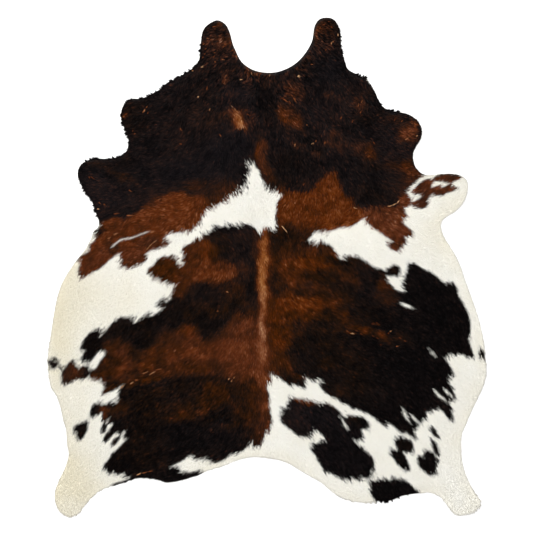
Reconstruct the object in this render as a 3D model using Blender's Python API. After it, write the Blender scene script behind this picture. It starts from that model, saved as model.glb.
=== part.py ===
# Cowhide rug: one tanned hide with its hair on, laid flat, hair side up.
#
# +Y is the neck end and +X the hide's right side as seen from above. The spine lies
# along Y, the suede underside rests on z = 0, and the origin is under the middle of the
# hide's width and length.

import math

import bmesh
import bpy
from mathutils import Vector
from mathutils.geometry import delaunay_2d_cdt

MM = 0.001  # metres in a millimetre

# Driving sizes, in millimetres.
HIDE_WIDTH = 1926.0  # flank to flank
HIDE_LENGTH = 2195.0  # ear lobes to hind leg tips
LEATHER_THICKNESS = 2.2  # the cut edge, where the hair is thin
COAT_THICKNESS = 5.2  # leather with the hair lying on it
EDGE_TAPER = 14.0  # how far in from the edge the coat reaches its full thickness

# How finely the solid is divided, in millimetres.
EDGE_STEP = 14.0
FIELD_STEP = 42.0
CURVE_STEPS = 8  # divisions of the curve between two outline points

# Outline points, clockwise from above, in millimetres from the middle of the hide.
# Each stretch is one part of the animal's skin, and a smooth closed curve runs
# through all of them. Columns: x, y.
OUTLINE = {
    "left_ear_lobe": [
        (-291, 965), (-284, 1022), (-276, 1046), (-258, 1066), (-223, 1085),
        (-201, 1082), (-179, 1066), (-166, 1044), (-157, 1018), (-148, 982),
    ],
    "neck_notch": [
        (-135, 952), (-117, 914), (-95, 890), (-64, 870), (-29, 859), (10, 855),
        (50, 859), (94, 875), (129, 897), (156, 923), (182, 958),
    ],
    "right_ear_lobe": [
        (200, 994), (206, 1026), (210, 1053), (222, 1079), (239, 1093), (261, 1097),
        (283, 1095), (301, 1084), (314, 1064), (323, 1035), (327, 1000), (327, 965),
        (336, 930), (349, 886),
    ],
    "right_shoulder": [
        (365, 866), (389, 853), (415, 840), (435, 837), (455, 809), (472, 780),
        (486, 749), (501, 718), (525, 696), (556, 686), (587, 681), (618, 674),
        (644, 661), (666, 639), (679, 617), (683, 591), (677, 564), (662, 538),
    ],
    "right_foreleg": [
        (648, 512), (644, 485), (648, 459), (659, 435), (679, 415), (701, 406),
        (736, 406), (763, 410), (807, 411), (842, 407), (864, 397), (879, 386),
        (884, 366), (884, 340), (877, 314), (864, 287), (846, 263), (824, 243),
        (798, 228), (776, 212), (766, 195),
    ],
    "right_flank": [
        (766, 173), (776, 142), (794, 111), (816, 76), (833, 45), (851, 6),
        (864, -34), (877, -73), (904, -144), (934, -232), (950, -311), (958, -386),
        (963, -430), (963, -474), (952, -518), (930, -571), (901, -632),
        (873, -698), (860, -729),
    ],
    "right_hind_leg": [
        (854, -760), (854, -795), (861, -861), (871, -896), (884, -931),
        (901, -967), (919, -997), (937, -1024), (939, -1037), (930, -1055),
        (912, -1072), (890, -1083), (864, -1089), (837, -1090), (807, -1061),
        (772, -1017), (754, -1002), (732, -993), (706, -989),
    ],
    "right_rump": [
        (662, -993), (631, -997), (596, -1004), (543, -1024), (490, -1026),
        (455, -1033), (420, -1033), (367, -1024), (318, -1006), (279, -978),
        (239, -945), (195, -920), (147, -892), (112, -870), (68, -850), (15, -839),
    ],
    "left_rump": [
        (-51, -832), (-78, -835), (-122, -845), (-161, -861), (-205, -876),
        (-258, -892), (-302, -912), (-355, -929), (-408, -942), (-447, -943),
        (-482, -931), (-531, -924), (-557, -923), (-601, -935), (-645, -951),
        (-689, -962), (-733, -981),
    ],
    "left_hind_leg": [
        (-755, -997), (-777, -1019), (-795, -1039), (-812, -1061), (-830, -1083),
        (-861, -1097), (-883, -1090), (-900, -1079), (-914, -1066), (-923, -1046),
        (-930, -1011), (-927, -975), (-909, -931), (-883, -874), (-870, -830),
        (-870, -804), (-877, -773), (-881, -716),
    ],
    "left_flank": [
        (-894, -672), (-905, -619), (-922, -566), (-947, -527), (-956, -478),
        (-962, -412), (-955, -351), (-947, -293), (-938, -232), (-922, -144),
        (-909, -100), (-896, -65), (-865, -12), (-834, 32), (-799, 76),
        (-775, 120), (-758, 162),
    ],
    "left_foreleg": [
        (-742, 173), (-736, 204), (-751, 243), (-768, 292), (-790, 320),
        (-810, 353), (-826, 389), (-830, 415), (-820, 446), (-793, 466),
        (-760, 477), (-702, 477), (-658, 483), (-636, 490), (-612, 518),
        (-607, 560),
    ],
    "left_shoulder": [
        (-619, 595), (-632, 631), (-640, 670), (-628, 714), (-597, 739),
        (-548, 742), (-500, 765), (-465, 785), (-434, 813), (-399, 829),
        (-359, 853), (-320, 879), (-296, 912), (-293, 934),
    ],
}

# Soft waves where a dried hide stands a little off the floor. Columns: x and y of the
# middle of the crest, the crest's direction in degrees from +X, half its length, half
# its width, and its height, in millimetres.
WAVES = {
    "left_ear_lobe_tip": (-222, 1060, 20, 90, 60, 7.0),
    "right_ear_lobe_tip": (262, 1070, -15, 90, 60, 8.0),
    "neck_notch_rim": (10, 880, 4, 130, 45, 5.0),
    "left_shoulder_edge": (-590, 690, 35, 120, 60, 6.0),
    "right_shoulder_edge": (640, 620, -55, 130, 60, 7.0),
    "left_foreleg": (-770, 400, 75, 130, 70, 8.0),
    "left_foreleg_fold": (-700, 250, 20, 110, 45, 5.5),
    "right_foreleg": (835, 330, 110, 120, 70, 9.0),
    "right_foreleg_fold": (735, 205, -25, 110, 45, 6.0),
    "left_flank_upper": (-890, -110, 62, 170, 60, 7.0),
    "left_flank_lower": (-935, -440, 95, 150, 55, 6.0),
    "right_flank_upper": (860, -70, 112, 170, 60, 7.0),
    "right_flank_lower": (935, -420, 88, 160, 60, 8.0),
    "left_hind_leg": (-885, -1040, 50, 130, 70, 8.0),
    "left_hind_leg_fold": (-850, -790, 10, 120, 45, 6.0),
    "right_hind_leg": (890, -1035, -45, 130, 70, 9.0),
    "right_hind_leg_fold": (840, -780, -12, 120, 45, 6.0),
    "left_rump_edge": (-520, -900, -8, 160, 55, 6.0),
    "right_rump_edge": (430, -990, -5, 170, 55, 7.0),
    "tail_edge": (-10, -815, 0, 120, 40, 4.5),
}
WAVE_FOOT = 0.22  # share of a wave's height that is cut away, so its foot ends on the floor

COAT_COLOUR = (0.13, 0.055, 0.028, 1.0)  # dark brown hair, linear
COAT_ROUGHNESS = 0.6


def catmull_rom(before, start, end, after, share):
    # A point between start and end on the curve through all four.
    square = share * share
    cube = square * share
    return 0.5 * (
        2.0 * start
        + (end - before) * share
        + (2.0 * before - 5.0 * start + 4.0 * end - after) * square
        + (3.0 * start - before - 3.0 * end + after) * cube
    )


def smooth_outline():
    # The closed curve through every outline point, finely divided.
    knots = [Vector(point) for stretch in OUTLINE.values() for point in stretch]
    count = len(knots)
    curve = []
    for index in range(count):
        four = [knots[(index + offset) % count] for offset in (-1, 0, 1, 2)]
        for step in range(CURVE_STEPS):
            curve.append(catmull_rom(*four, step / CURVE_STEPS))
    return curve


def even_steps(curve, step):
    # The same closed curve with its points an even distance apart.
    lengths = [(curve[(i + 1) % len(curve)] - curve[i]).length for i in range(len(curve))]
    count = round(sum(lengths) / step)
    spacing = sum(lengths) / count
    points = []
    walked = 0.0
    for index, length in enumerate(lengths):
        following = curve[(index + 1) % len(curve)]
        while len(points) < count and len(points) * spacing < walked + length:
            share = (len(points) * spacing - walked) / length
            points.append(curve[index].lerp(following, share))
        walked += length
    return points


def fit_to_size(points):
    # Centres the outline on the origin at exactly the hide's width and length.
    low = Vector((min(p.x for p in points), min(p.y for p in points)))
    high = Vector((max(p.x for p in points), max(p.y for p in points)))
    middle = (low + high) / 2.0
    scale_x = HIDE_WIDTH / (high.x - low.x)
    scale_y = HIDE_LENGTH / (high.y - low.y)
    return [Vector(((p.x - middle.x) * scale_x, (p.y - middle.y) * scale_y)) for p in points]


def is_inside(point, outline):
    # Counts the outline's crossings of a line to the right of the point.
    inside = False
    for index, start in enumerate(outline):
        end = outline[index - 1]
        if (start.y > point.y) != (end.y > point.y):
            crossing = start.x + (point.y - start.y) / (end.y - start.y) * (end.x - start.x)
            if point.x < crossing:
                inside = not inside
    return inside


def edge_distance(point, outline):
    # Shortest distance from a point to the outline's edges.
    shortest = math.inf
    for index, start in enumerate(outline):
        along = outline[index - 1] - start
        share = (point - start).dot(along) / along.length_squared
        foot = start + along * min(1.0, max(0.0, share))
        shortest = min(shortest, (point - foot).length)
    return shortest


def inner_ring(outline):
    # Points one taper in from the edge, where the coat is at its full thickness.
    ring = []
    for index, point in enumerate(outline):
        along = outline[(index + 1) % len(outline)] - outline[index - 1]
        inward = Vector((along.y, -along.x)).normalized()  # the outline runs clockwise
        candidate = point + inward * EDGE_TAPER
        if index % 2 == 0 and edge_distance(candidate, outline) > 0.9 * EDGE_TAPER:
            ring.append(candidate)
    return ring


def field_points(outline):
    # Staggered rows of points over the rest of the hide.
    points = []
    row_step = FIELD_STEP * math.sqrt(0.75)
    rows = round(HIDE_LENGTH / row_step)
    columns = round(HIDE_WIDTH / FIELD_STEP)
    for row in range(rows):
        y = (row - rows / 2.0) * row_step
        for column in range(columns + 1):
            x = (column - columns / 2.0 + 0.5 * (row % 2)) * FIELD_STEP
            point = Vector((x, y))
            if is_inside(point, outline) and edge_distance(point, outline) > 0.7 * FIELD_STEP:
                points.append(point)
    return points


def wave_lift(point):
    # Height of the underside over the floor: nothing but where a wave stands.
    lift = 0.0
    for x, y, degrees, half_length, half_width, height in WAVES.values():
        angle = math.radians(degrees)
        offset = point - Vector((x, y))
        along = offset.x * math.cos(angle) + offset.y * math.sin(angle)
        across = offset.y * math.cos(angle) - offset.x * math.sin(angle)
        swell = math.exp(-((along / half_length) ** 2) - (across / half_width) ** 2)
        lift += height * max(0.0, swell - WAVE_FOOT) / (1.0 - WAVE_FOOT)
    return lift


def thickness_at(distance):
    # Leather alone at the cut edge, rising in a round shoulder to the full coat.
    share = min(1.0, distance / EDGE_TAPER)
    rise = math.sqrt(1.0 - (1.0 - share) ** 2)
    return LEATHER_THICKNESS + (COAT_THICKNESS - LEATHER_THICKNESS) * rise


def coat_material():
    material = bpy.data.materials.new("cowhide_coat")
    material.use_nodes = True
    shader = material.node_tree.nodes["Principled BSDF"]
    shader.inputs["Base Color"].default_value = COAT_COLOUR
    shader.inputs["Roughness"].default_value = COAT_ROUGHNESS
    shader.inputs["Metallic"].default_value = 0.0
    return material


def build_hide():
    # Two skins of the same triangles, one a coat's thickness over the other, joined by
    # the cut edge.
    outline = fit_to_size(even_steps(smooth_outline(), EDGE_STEP))
    count = len(outline)
    loose = inner_ring(outline) + field_points(outline)
    points, _, triangles, _, _, _ = delaunay_2d_cdt(
        outline + loose, [], [list(range(count))], 1, 1e-4
    )

    mesh = bmesh.new()
    under = []
    upper = []
    for point in points:
        distance = edge_distance(point, outline)
        lift = wave_lift(point)
        under.append(mesh.verts.new((point.x * MM, point.y * MM, lift * MM)))
        top = lift + thickness_at(distance)
        upper.append(mesh.verts.new((point.x * MM, point.y * MM, top * MM)))
    for triangle in triangles:
        mesh.faces.new([upper[i] for i in triangle])
        mesh.faces.new([under[i] for i in reversed(triangle)])
    rim = [edge for edge in mesh.edges if edge.is_boundary]
    bmesh.ops.bridge_loops(mesh, edges=rim)
    bmesh.ops.triangulate(mesh, faces=[face for face in mesh.faces if len(face.verts) > 3])
    bmesh.ops.recalc_face_normals(mesh, faces=mesh.faces)

    data = bpy.data.meshes.new("hide")
    mesh.to_mesh(data)
    mesh.free()
    data.materials.append(coat_material())
    data.shade_smooth()
    data.set_sharp_from_angle(angle=math.radians(50.0))
    hide = bpy.data.objects.new("hide", data)
    bpy.context.scene.collection.objects.link(hide)
    return hide


for leftover in list(bpy.data.objects):
    bpy.data.objects.remove(leftover)
build_hide()
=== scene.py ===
import math

import bmesh
import bpy
import numpy as np
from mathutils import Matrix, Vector
from mathutils.bvhtree import BVHTree
from mathutils.geometry import delaunay_2d_cdt
from mathutils.kdtree import KDTree


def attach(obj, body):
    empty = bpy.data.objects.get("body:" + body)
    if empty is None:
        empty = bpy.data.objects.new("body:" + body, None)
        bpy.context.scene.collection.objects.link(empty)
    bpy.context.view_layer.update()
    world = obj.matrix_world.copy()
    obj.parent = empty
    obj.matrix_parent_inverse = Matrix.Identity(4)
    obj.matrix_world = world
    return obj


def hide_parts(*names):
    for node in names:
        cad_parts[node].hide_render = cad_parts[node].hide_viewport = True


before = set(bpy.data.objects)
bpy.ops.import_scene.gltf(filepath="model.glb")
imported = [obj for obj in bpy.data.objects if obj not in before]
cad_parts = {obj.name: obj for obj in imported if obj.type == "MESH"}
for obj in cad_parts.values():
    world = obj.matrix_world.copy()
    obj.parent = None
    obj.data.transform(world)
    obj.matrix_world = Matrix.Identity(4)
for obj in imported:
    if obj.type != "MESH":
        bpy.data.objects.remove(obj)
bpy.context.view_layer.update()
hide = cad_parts["hide"]
print("hide loaded")

millimetre = 0.001
weldGap = 0.01 * millimetre
flatEnough = 0.3  # faces whose normal has less height than this belong to the cut edge

# The photograph's frame at the hide's real size.
photo = {
    "size": 533,  # pixels across and down
    "pixel": 4.4 * millimetre,
    "middle": (266.65, 267.3),  # the pixel over the middle of the hide
}
cellsPerPixel = 2  # the coat is charted in cells of 2.2 mm
chartSize = photo["size"] * cellsPerPixel

# Dark fields on the cream coat, in pixels. Each runs round its patch in named stretches.
darkFields = {
    "mantle": {
        "leftEdge": [
            (70, 155), (60, 150), (60, 195), (80, 215), (92, 224), (99.5, 223.5), (103, 220.5),
            (107.5, 218), (105.5, 220.5), (102, 224.5), (99.5, 228), (97, 230), (94.5, 231), (93, 231.5),
            (94.6, 234.6), (94.8, 237), (95.2, 240), (94, 243), (91, 244.6), (86.5, 247.6), (89.5, 249),
            (90.3, 251), (88.4, 252.8), (84.5, 254), (81, 256.5), (77.5, 260), (80, 262), (81, 266),
        ],
        "leftArm": [
            (79, 268), (78.5, 273), (80, 277.5), (83, 278), (88, 275), (93, 272), (100, 268.5),
            (105, 264), (109, 260), (113, 257), (117, 253.5), (120, 251.5), (121, 254), (119.5, 258),
            (122, 260.5), (120, 264.5), (122, 267), (127, 268.5), (131, 267), (136, 266), (140, 264.5),
            (144, 262), (146, 259),
        ],
        "underTheShoulder": [
            (147, 256), (144.5, 254), (149, 251), (153, 249.5), (158, 248), (162, 247.5), (166, 246),
            (168.5, 243.5), (169, 241), (166, 240), (162, 238), (164, 236.5), (168, 234), (171, 232),
            (178, 232.5), (184, 232), (189, 231.5), (192, 229.5), (194, 227), (197, 224.5), (200, 224),
        ],
        "starLeft": [
            (202, 221.5), (200.5, 219), (202, 215), (205, 212.5), (210, 209.5), (214, 207), (218, 204.5),
            (222, 202), (226, 199), (230, 197), (234, 194.5), (238, 192), (241.5, 189.5), (244, 186.5),
            (246, 182.5), (246.7, 178), (247.7, 173), (249.5, 169), (247, 165), (245.5, 161.5),
        ],
        "starTopAndRight": [
            (248.5, 163.5), (249, 160.5), (251.5, 163.5), (253.5, 163.5), (256.5, 167), (259, 171.5),
            (261, 176), (263, 180), (265, 184.5), (268, 188.5), (271, 190.5), (275, 191.5), (279, 194),
            (282, 193), (285, 192.5), (283, 196), (280, 199), (278, 202), (276.5, 205), (277.5, 208.5),
            (276, 213), (275.5, 217), (275.5, 221), (277, 224), (279, 227), (280, 231), (282, 238),
            (286, 243), (296, 244),
        ],
        "rightBandTop": [
            (303, 242.5), (304, 240.5), (307, 239.5), (309, 238), (311, 236), (312, 233), (314, 231.5),
            (317, 232), (320, 231.5), (323, 232), (327, 231.5), (330, 231), (332, 230), (335, 229),
            (340, 228), (345, 227), (350, 226.5), (354, 224.5), (357, 223), (358.5, 220.5), (359, 218),
            (360.5, 219.5), (363, 218.5), (366, 217), (364, 220), (364.5, 222), (368, 223.5),
            (371, 225.5), (374, 227.5),
        ],
        "rightTongue": [
            (377, 230), (380, 232), (383, 234), (386, 236.5), (390, 238.5), (393, 241), (394, 243),
            (391, 242.5), (388, 244), (389, 247), (392, 249.5), (395, 251), (398, 252), (401, 250.5),
            (401.5, 247.5), (404, 245.5), (407, 242), (405, 239.5), (403, 237.5), (404, 235.5),
            (407, 237), (410, 236.5), (413, 235), (412, 232), (410, 229.5), (406, 227), (404, 224.5),
            (402, 222), (405, 220), (407, 216),
        ],
        "rightForeleg": [
            (406, 212.5), (404, 209.5), (406, 207), (409, 205), (411, 203), (411, 200), (409, 196.5),
            (407, 193), (408, 190.5), (411, 188.3), (413, 185.3), (416, 181.7), (419, 179.7),
            (423, 177.5), (426, 175.5), (430, 170), (425, 160),
        ],
        "neck": [
            (435, 130), (420, 105), (385, 100), (360, 65), (345, 10), (300, 10), (270, 60), (240, 50),
            (230, 12), (195, 12), (190, 60), (150, 85), (110, 95), (115, 150),
        ],
    },
    "torso": {
        "leftHook": [
            (148, 270), (151, 267), (155, 264.5), (157, 261), (160, 258.5), (164, 257), (169, 256),
            (173, 256.8), (176, 259), (178, 261), (177, 263.5), (178, 265), (182, 266), (185, 264.5),
            (186.5, 261.5), (183, 261), (181.5, 260), (183.5, 258.5), (185, 256), (183, 253), (181, 251),
            (182, 248.5), (186, 246), (190, 245), (193, 242.5), (196, 240.5), (199, 239), (202, 236.5),
            (206, 234),
        ],
        "underTheStar": [
            (209, 231.5), (212, 229), (214, 226.8), (218, 225.8), (222, 226.5), (228, 226), (233, 225),
            (238, 226), (243, 225.5), (247, 224.5), (250, 226), (254, 228), (257, 230.5), (259, 233),
            (260.5, 236.5), (262, 233), (263.5, 229), (266, 226.5), (268, 228.5), (270, 229.5),
            (271.5, 231.5), (273, 230), (276, 228.5), (278.5, 226.5), (283, 229), (290, 234), (298, 238),
            (304, 241),
        ],
        "underTheRightBand": [
            (308, 242), (312, 242.5), (318, 243), (323, 242), (327, 243.5), (330, 246), (333, 248),
            (332, 250.5), (335, 251.5), (337, 253.5), (336, 256), (338, 258.5), (341, 260), (345, 258),
            (348, 256), (352, 255.5), (357, 255.5), (359.5, 257.5), (360.5, 260.5), (363, 261),
            (366, 261.5), (369, 264.5), (372, 267), (376, 268.5), (381, 269.5), (384, 272), (386, 276),
            (387, 279), (386.5, 282), (389, 284), (392, 286.5), (394, 289.5), (397, 291), (401, 292.5),
            (406, 293),
        ],
        "rightFlankTop": [
            (404, 289), (401, 286), (405, 284.5), (402, 281), (406, 280), (403, 276.5), (408, 276.5),
            (405, 272.5), (410, 271.5), (407, 267.5), (409, 264.3), (413, 263), (418, 266), (424, 270),
            (430, 272), (435, 276), (440, 280), (444, 284), (449, 282), (453, 282.5), (455, 286),
            (457, 289),
        ],
        "rightFlank": [
            (457.5, 294), (459, 299), (462, 302), (465, 308), (467, 312), (469, 318), (470, 326),
            (470, 333), (468.5, 339), (469, 344), (471, 349), (473, 354), (472, 358), (468, 357),
            (464, 355), (460, 354), (456, 355), (452, 355.5), (449, 353.5), (447, 352), (448, 357),
            (444, 359), (448, 364), (450, 366), (451, 370), (453, 374), (450, 378), (447.5, 383),
            (450, 386), (454, 388), (453, 392), (456, 400),
        ],
        "rightFlankFoot": [
            (452, 400), (449, 402), (451, 407), (453, 411), (452, 415), (453, 420.5), (450, 420),
            (447, 417), (445, 413), (441, 409), (438, 407), (435, 410), (431, 412), (428, 411),
            (426, 414), (426, 418), (424, 421), (421, 421), (420, 424), (417, 428), (414, 430),
            (415, 434), (417, 440.5), (414, 440), (410, 437), (404, 433), (399, 437), (397, 433),
            (398, 429), (394, 426), (390, 423), (388, 424.2),
        ],
        "whiteChannel": [
            (386, 425.5), (385.7, 428), (383, 425), (381, 422.3), (378, 421), (375.5, 420), (376, 418.6),
            (374, 416.8), (371, 415), (368.5, 413.3), (366, 411.7), (364, 412.3), (362, 410.6),
            (360, 409.2), (358, 408.5), (356, 408.7), (354.5, 410.5), (352, 408), (350, 406),
            (348, 403.5), (345, 402.5), (343, 404), (340, 400.5), (337, 398.7), (333, 397), (330, 395.5),
            (327, 393.5), (324, 391),
        ],
        "whiteInlet": [
            (322, 388), (320, 386), (321, 383), (325, 381.5), (322, 379), (320, 378), (317, 379.5),
            (314, 380.5), (312, 381.5), (310, 379), (307, 377.5), (305, 378), (304.5, 380), (305.5, 383),
            (306, 385.5), (303, 387), (300, 387), (297, 384.5), (293, 385), (291, 386.5), (289, 384),
            (286, 382.5), (283, 381), (280, 378), (277, 376), (273, 375), (270, 373), (267, 371),
            (268, 375), (271, 378), (271, 381),
        ],
        "spineFoot": [
            (268, 383), (265, 384.3), (266, 386.5), (267, 389), (268, 393), (269, 398), (269, 403),
            (269.5, 408), (270, 413), (271, 417), (271.5, 421), (271, 424), (270, 428), (269, 431),
            (265.5, 432.5), (264, 436), (264, 440), (261.5, 443), (260, 446), (257, 446), (254, 447),
            (250, 444), (247, 446), (244, 449),
        ],
        "rumpEdge": [
            (241, 451), (238, 453), (234, 454), (230, 453), (228, 456), (225, 459), (220, 461),
            (215, 462), (210, 462), (206, 459.5), (203, 457.5), (200, 459), (197, 458.5), (193, 456.5),
            (191, 453.5), (188, 456), (184, 459), (180, 461.5), (174, 464), (170, 467), (168, 470),
            (174, 467.5), (178, 468.5), (183, 472.5), (190, 473), (196, 472), (200, 471.5), (203, 473),
            (200, 478), (186, 482), (170, 487),
        ],
        "leftRump": [
            (157, 483), (146, 481), (134, 479), (134, 477.5), (130, 476), (124, 474.5), (120, 472.5),
            (117, 475), (115, 473), (111, 472), (108, 474.5), (107, 470), (103, 468), (106, 463),
            (109, 460), (111, 456), (113, 453), (117, 450), (120, 447), (124, 443), (128, 439),
            (130, 438), (128, 436.5), (125, 437.5),
        ],
        "leftTatters": [
            (122.5, 438.5), (123, 437), (124.5, 435), (126, 433.5), (125, 431), (123, 430), (121.5, 432),
            (121, 435.5), (119.5, 438.5), (117.5, 441), (115, 444.5), (112.5, 446), (112, 443),
            (113.5, 440), (116, 438), (119, 437), (120, 434), (119.5, 432), (117, 431.8), (114, 433.5),
            (112, 435.5), (109.5, 438), (107.5, 440.5), (104.5, 442), (103.5, 440), (104.5, 437),
            (107, 433.5), (109, 432), (110, 430), (112, 427), (113.5, 424.5), (113, 422.5), (111, 422.8),
            (109.5, 424), (107.5, 424), (108.5, 422), (110, 420), (110.5, 417), (111.5, 414), (111, 411),
            (112, 408.5), (114, 406), (117, 403.5), (121, 402.3), (119, 401.5), (116.5, 400), (117, 397),
            (119, 395), (118.5, 392),
        ],
        "leftWaist": [
            (119, 389), (116, 390), (111, 392.5), (107, 395), (103, 394.5), (103, 391), (105, 386),
            (103, 384), (101, 379.5), (95, 380), (91, 377), (93, 372), (97, 368), (99, 363), (103, 358.5),
            (106.5, 354.5), (105, 353), (100, 350), (98, 351.5), (95, 355.5), (92, 359.5), (89, 363),
            (85, 362), (82, 359),
        ],
        "leftFlankTop": [
            (83, 355), (86, 352), (84, 350), (81, 347), (83, 343), (85, 338.5), (88, 335), (92, 331),
            (97, 329), (100, 331), (101, 337), (107, 330), (110, 327), (113, 322), (117, 320), (122, 319),
            (128, 317), (134, 316), (136, 322), (140, 320), (146, 315), (150, 312), (152, 318),
            (157, 313), (162, 311), (163, 307.5), (159, 306), (155, 304.5), (159, 302), (161, 299),
            (165, 299.5), (170, 301), (174, 297), (171, 297), (172, 294), (174, 290), (176, 285),
            (174, 283.5), (170, 283.5), (165, 282), (160, 280), (157, 278), (153, 277.5), (151, 275),
            (149, 272),
        ],
    },
    "rightHaunch": {
        "leftEnd": [
            (291, 396.5), (290, 400), (289, 404), (288, 407), (283, 408), (281.5, 411), (281, 415),
            (280.5, 419), (282, 422), (285, 425), (289, 428), (292, 430), (295, 433), (299, 435.5),
            (302, 437), (305, 436.5), (308, 439), (310, 437), (312, 434), (313, 431), (315, 429),
            (319, 431), (323, 435), (328, 440.5),
        ],
        "foot": [
            (322, 439.5), (318, 443), (313, 442), (314, 445), (311, 449.5), (313, 452), (316, 455),
            (317, 459), (320, 463), (322, 467), (324, 471), (327, 472.5), (332, 473), (336, 476),
            (341, 478.5), (346, 479.5), (351, 480), (354, 478), (358, 480.5), (361, 480.5), (365, 477),
            (370, 476.5), (373, 472), (374, 469),
        ],
        "rightEnd": [
            (373.5, 464), (374, 460), (371, 457), (368, 453), (365, 450), (361, 447), (357, 444),
            (353, 441.5), (352, 437), (355, 439), (360, 440), (363, 440), (363, 436), (361, 433),
            (362, 430), (366, 429), (370, 428.5), (369, 424), (366, 419.5), (362, 418), (357, 417),
            (350, 415), (347, 415.3),
        ],
        "top": [
            (346.5, 417), (345, 419), (343, 417), (341, 414.5), (339, 411.5), (336, 409), (333, 407),
            (330, 404.8), (325, 403), (320, 403), (315, 403), (310, 401), (305, 400.5), (300, 400),
            (295, 398),
        ],
    },
}

# Small dark patches on the cream coat.
darkPatches = {
    "rimSpot": [
        (369, 480), (374, 481), (380, 480), (386, 479.5), (393, 479), (400, 479.5), (405, 481),
        (409, 483), (413, 487), (416, 490.5), (420, 493), (418, 500), (390, 508), (378, 505), (375, 499),
        (372, 495), (370, 491), (371, 487), (369, 483),
    ],
    "haunchSpot": [
        (394, 442), (397, 446), (400, 450), (404, 451.5), (408, 452.5), (412, 453), (413.5, 449),
        (413, 445), (411, 441), (408, 438), (404, 434), (401, 433), (398, 437), (395, 440),
    ],
    "innerLegSpot": [
        (389, 453), (392, 450), (396, 450), (400, 451), (403, 454), (406, 459), (408, 464), (410, 469),
        (407, 470), (403, 469.5), (400, 466.5), (397, 463), (395, 459.5), (392, 456),
    ],
    "outerLegSpot": [
        (418, 457), (421, 456), (424, 459), (424, 452), (427, 451), (430, 451.5), (433, 454), (435, 458),
        (436, 463), (437, 468), (437, 473), (434, 474.5), (430, 473.5), (427, 473), (424, 470),
        (420, 467), (418, 463),
    ],
    "flankDot": [
        (386, 271), (388, 268.5), (391, 266.5), (395, 265.5), (398, 266.5), (400, 269), (400, 273),
        (398, 276), (394, 276.5), (390, 275.5), (387, 273.5),
    ],
    "foreleg1": [
        (433, 179.5), (438, 175.5), (444, 174), (452, 174.3), (460, 175.5), (462, 177.5), (458, 179.5),
        (452, 181.5), (446, 182), (441, 181),
    ],
    "foreleg2": [
        (411, 191), (415, 186.5), (420, 183), (426, 180), (431, 180), (433, 183), (430, 187),
        (427, 189.5), (424, 192), (420, 195), (415, 193.5),
    ],
    "foreleg3": [
        (413, 203), (421, 198), (424, 194), (427, 190.5), (430, 189), (436, 187), (440, 185.5),
        (441, 187), (438, 189.5), (434, 191), (431, 193.5), (429, 197), (426, 200.5), (428, 203.5),
        (425, 207), (420, 209), (416, 207), (412, 205.5),
    ],
    "foreleg4": [
        (433, 193), (437, 190), (441, 188.5), (445, 187), (449, 184.5), (452, 183.5), (453, 187),
        (455, 188), (459, 188), (454, 190.3), (449, 192), (445, 193), (442, 196), (438, 195),
        (434, 195.5),
    ],
    "leftRimSpot": [
        (48.5, 360), (51, 358), (56, 358), (59, 360), (58, 364), (61, 366), (64, 366.5), (63, 369.5),
        (60, 368), (57, 367), (54, 368.5), (50, 366),
    ],
    "leftTongue": [
        (61.5, 374), (65, 369.5), (67, 366), (70, 362.5), (73, 361), (77, 364), (79, 366), (76, 369),
        (73, 371), (79, 369), (84, 366.5), (90, 368), (92, 370), (90, 374), (88, 376), (84, 379),
        (80, 378.5), (75, 380), (70, 382), (66, 383.5), (63, 384), (62, 379),
    ],
    "waistSpeckle": [
        (92, 407), (97, 403), (100, 402), (101, 406), (99, 409), (102, 409), (99, 414), (96, 415),
        (92, 417.5), (90, 415), (91, 411),
    ],
    "waistBrown": [
        (102.5, 406), (104, 403.5), (106, 406), (108, 407.5), (109.5, 410), (110, 413), (109, 416),
        (107.5, 418.5), (105.5, 420.5), (103, 421.5), (102, 419), (103, 416), (102.5, 412), (102, 409),
    ],
    "waistBlack": [
        (107, 406), (108.5, 403.5), (110, 401.5), (112, 400.5), (113.5, 402), (113.5, 404), (112, 406),
        (110.5, 407.3), (108.5, 407.5),
    ],
    "leftDot": [
        (74, 427), (78, 424), (83, 423), (87, 421.5), (88, 425), (87, 430), (85, 434), (83, 437.5),
        (80, 440), (77, 438), (76, 434), (74, 431),
    ],
    "tatter": [
        (101, 430), (102.5, 426), (104.5, 422.5), (106.5, 423), (106.5, 427), (105.5, 431), (104, 433),
        (102.5, 432.5),
    ],
    "strand1": [
        (430, 428), (433, 427), (437, 433), (439, 438), (436, 437), (432, 433),
    ],
    "strand2": [
        (431.5, 441), (434, 441), (437.5, 447), (439, 455), (436.5, 455), (433.5, 449),
    ],
    "strand3": [
        (435, 459), (437, 458.5), (439.5, 461.5), (438.5, 462.5),
    ],
    "rimLine": [
        (110, 486.5), (118, 483), (126, 480), (136, 478), (136, 482), (126, 485), (112, 490),
    ],
    "rimHook": [
        (479.5, 349.5), (483, 350), (480.5, 354), (480.2, 358), (478.3, 357),
    ],
    "rimHookFoot": [
        (482.5, 352.5), (484, 352.5), (486, 361), (484, 360),
    ],
}

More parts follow.
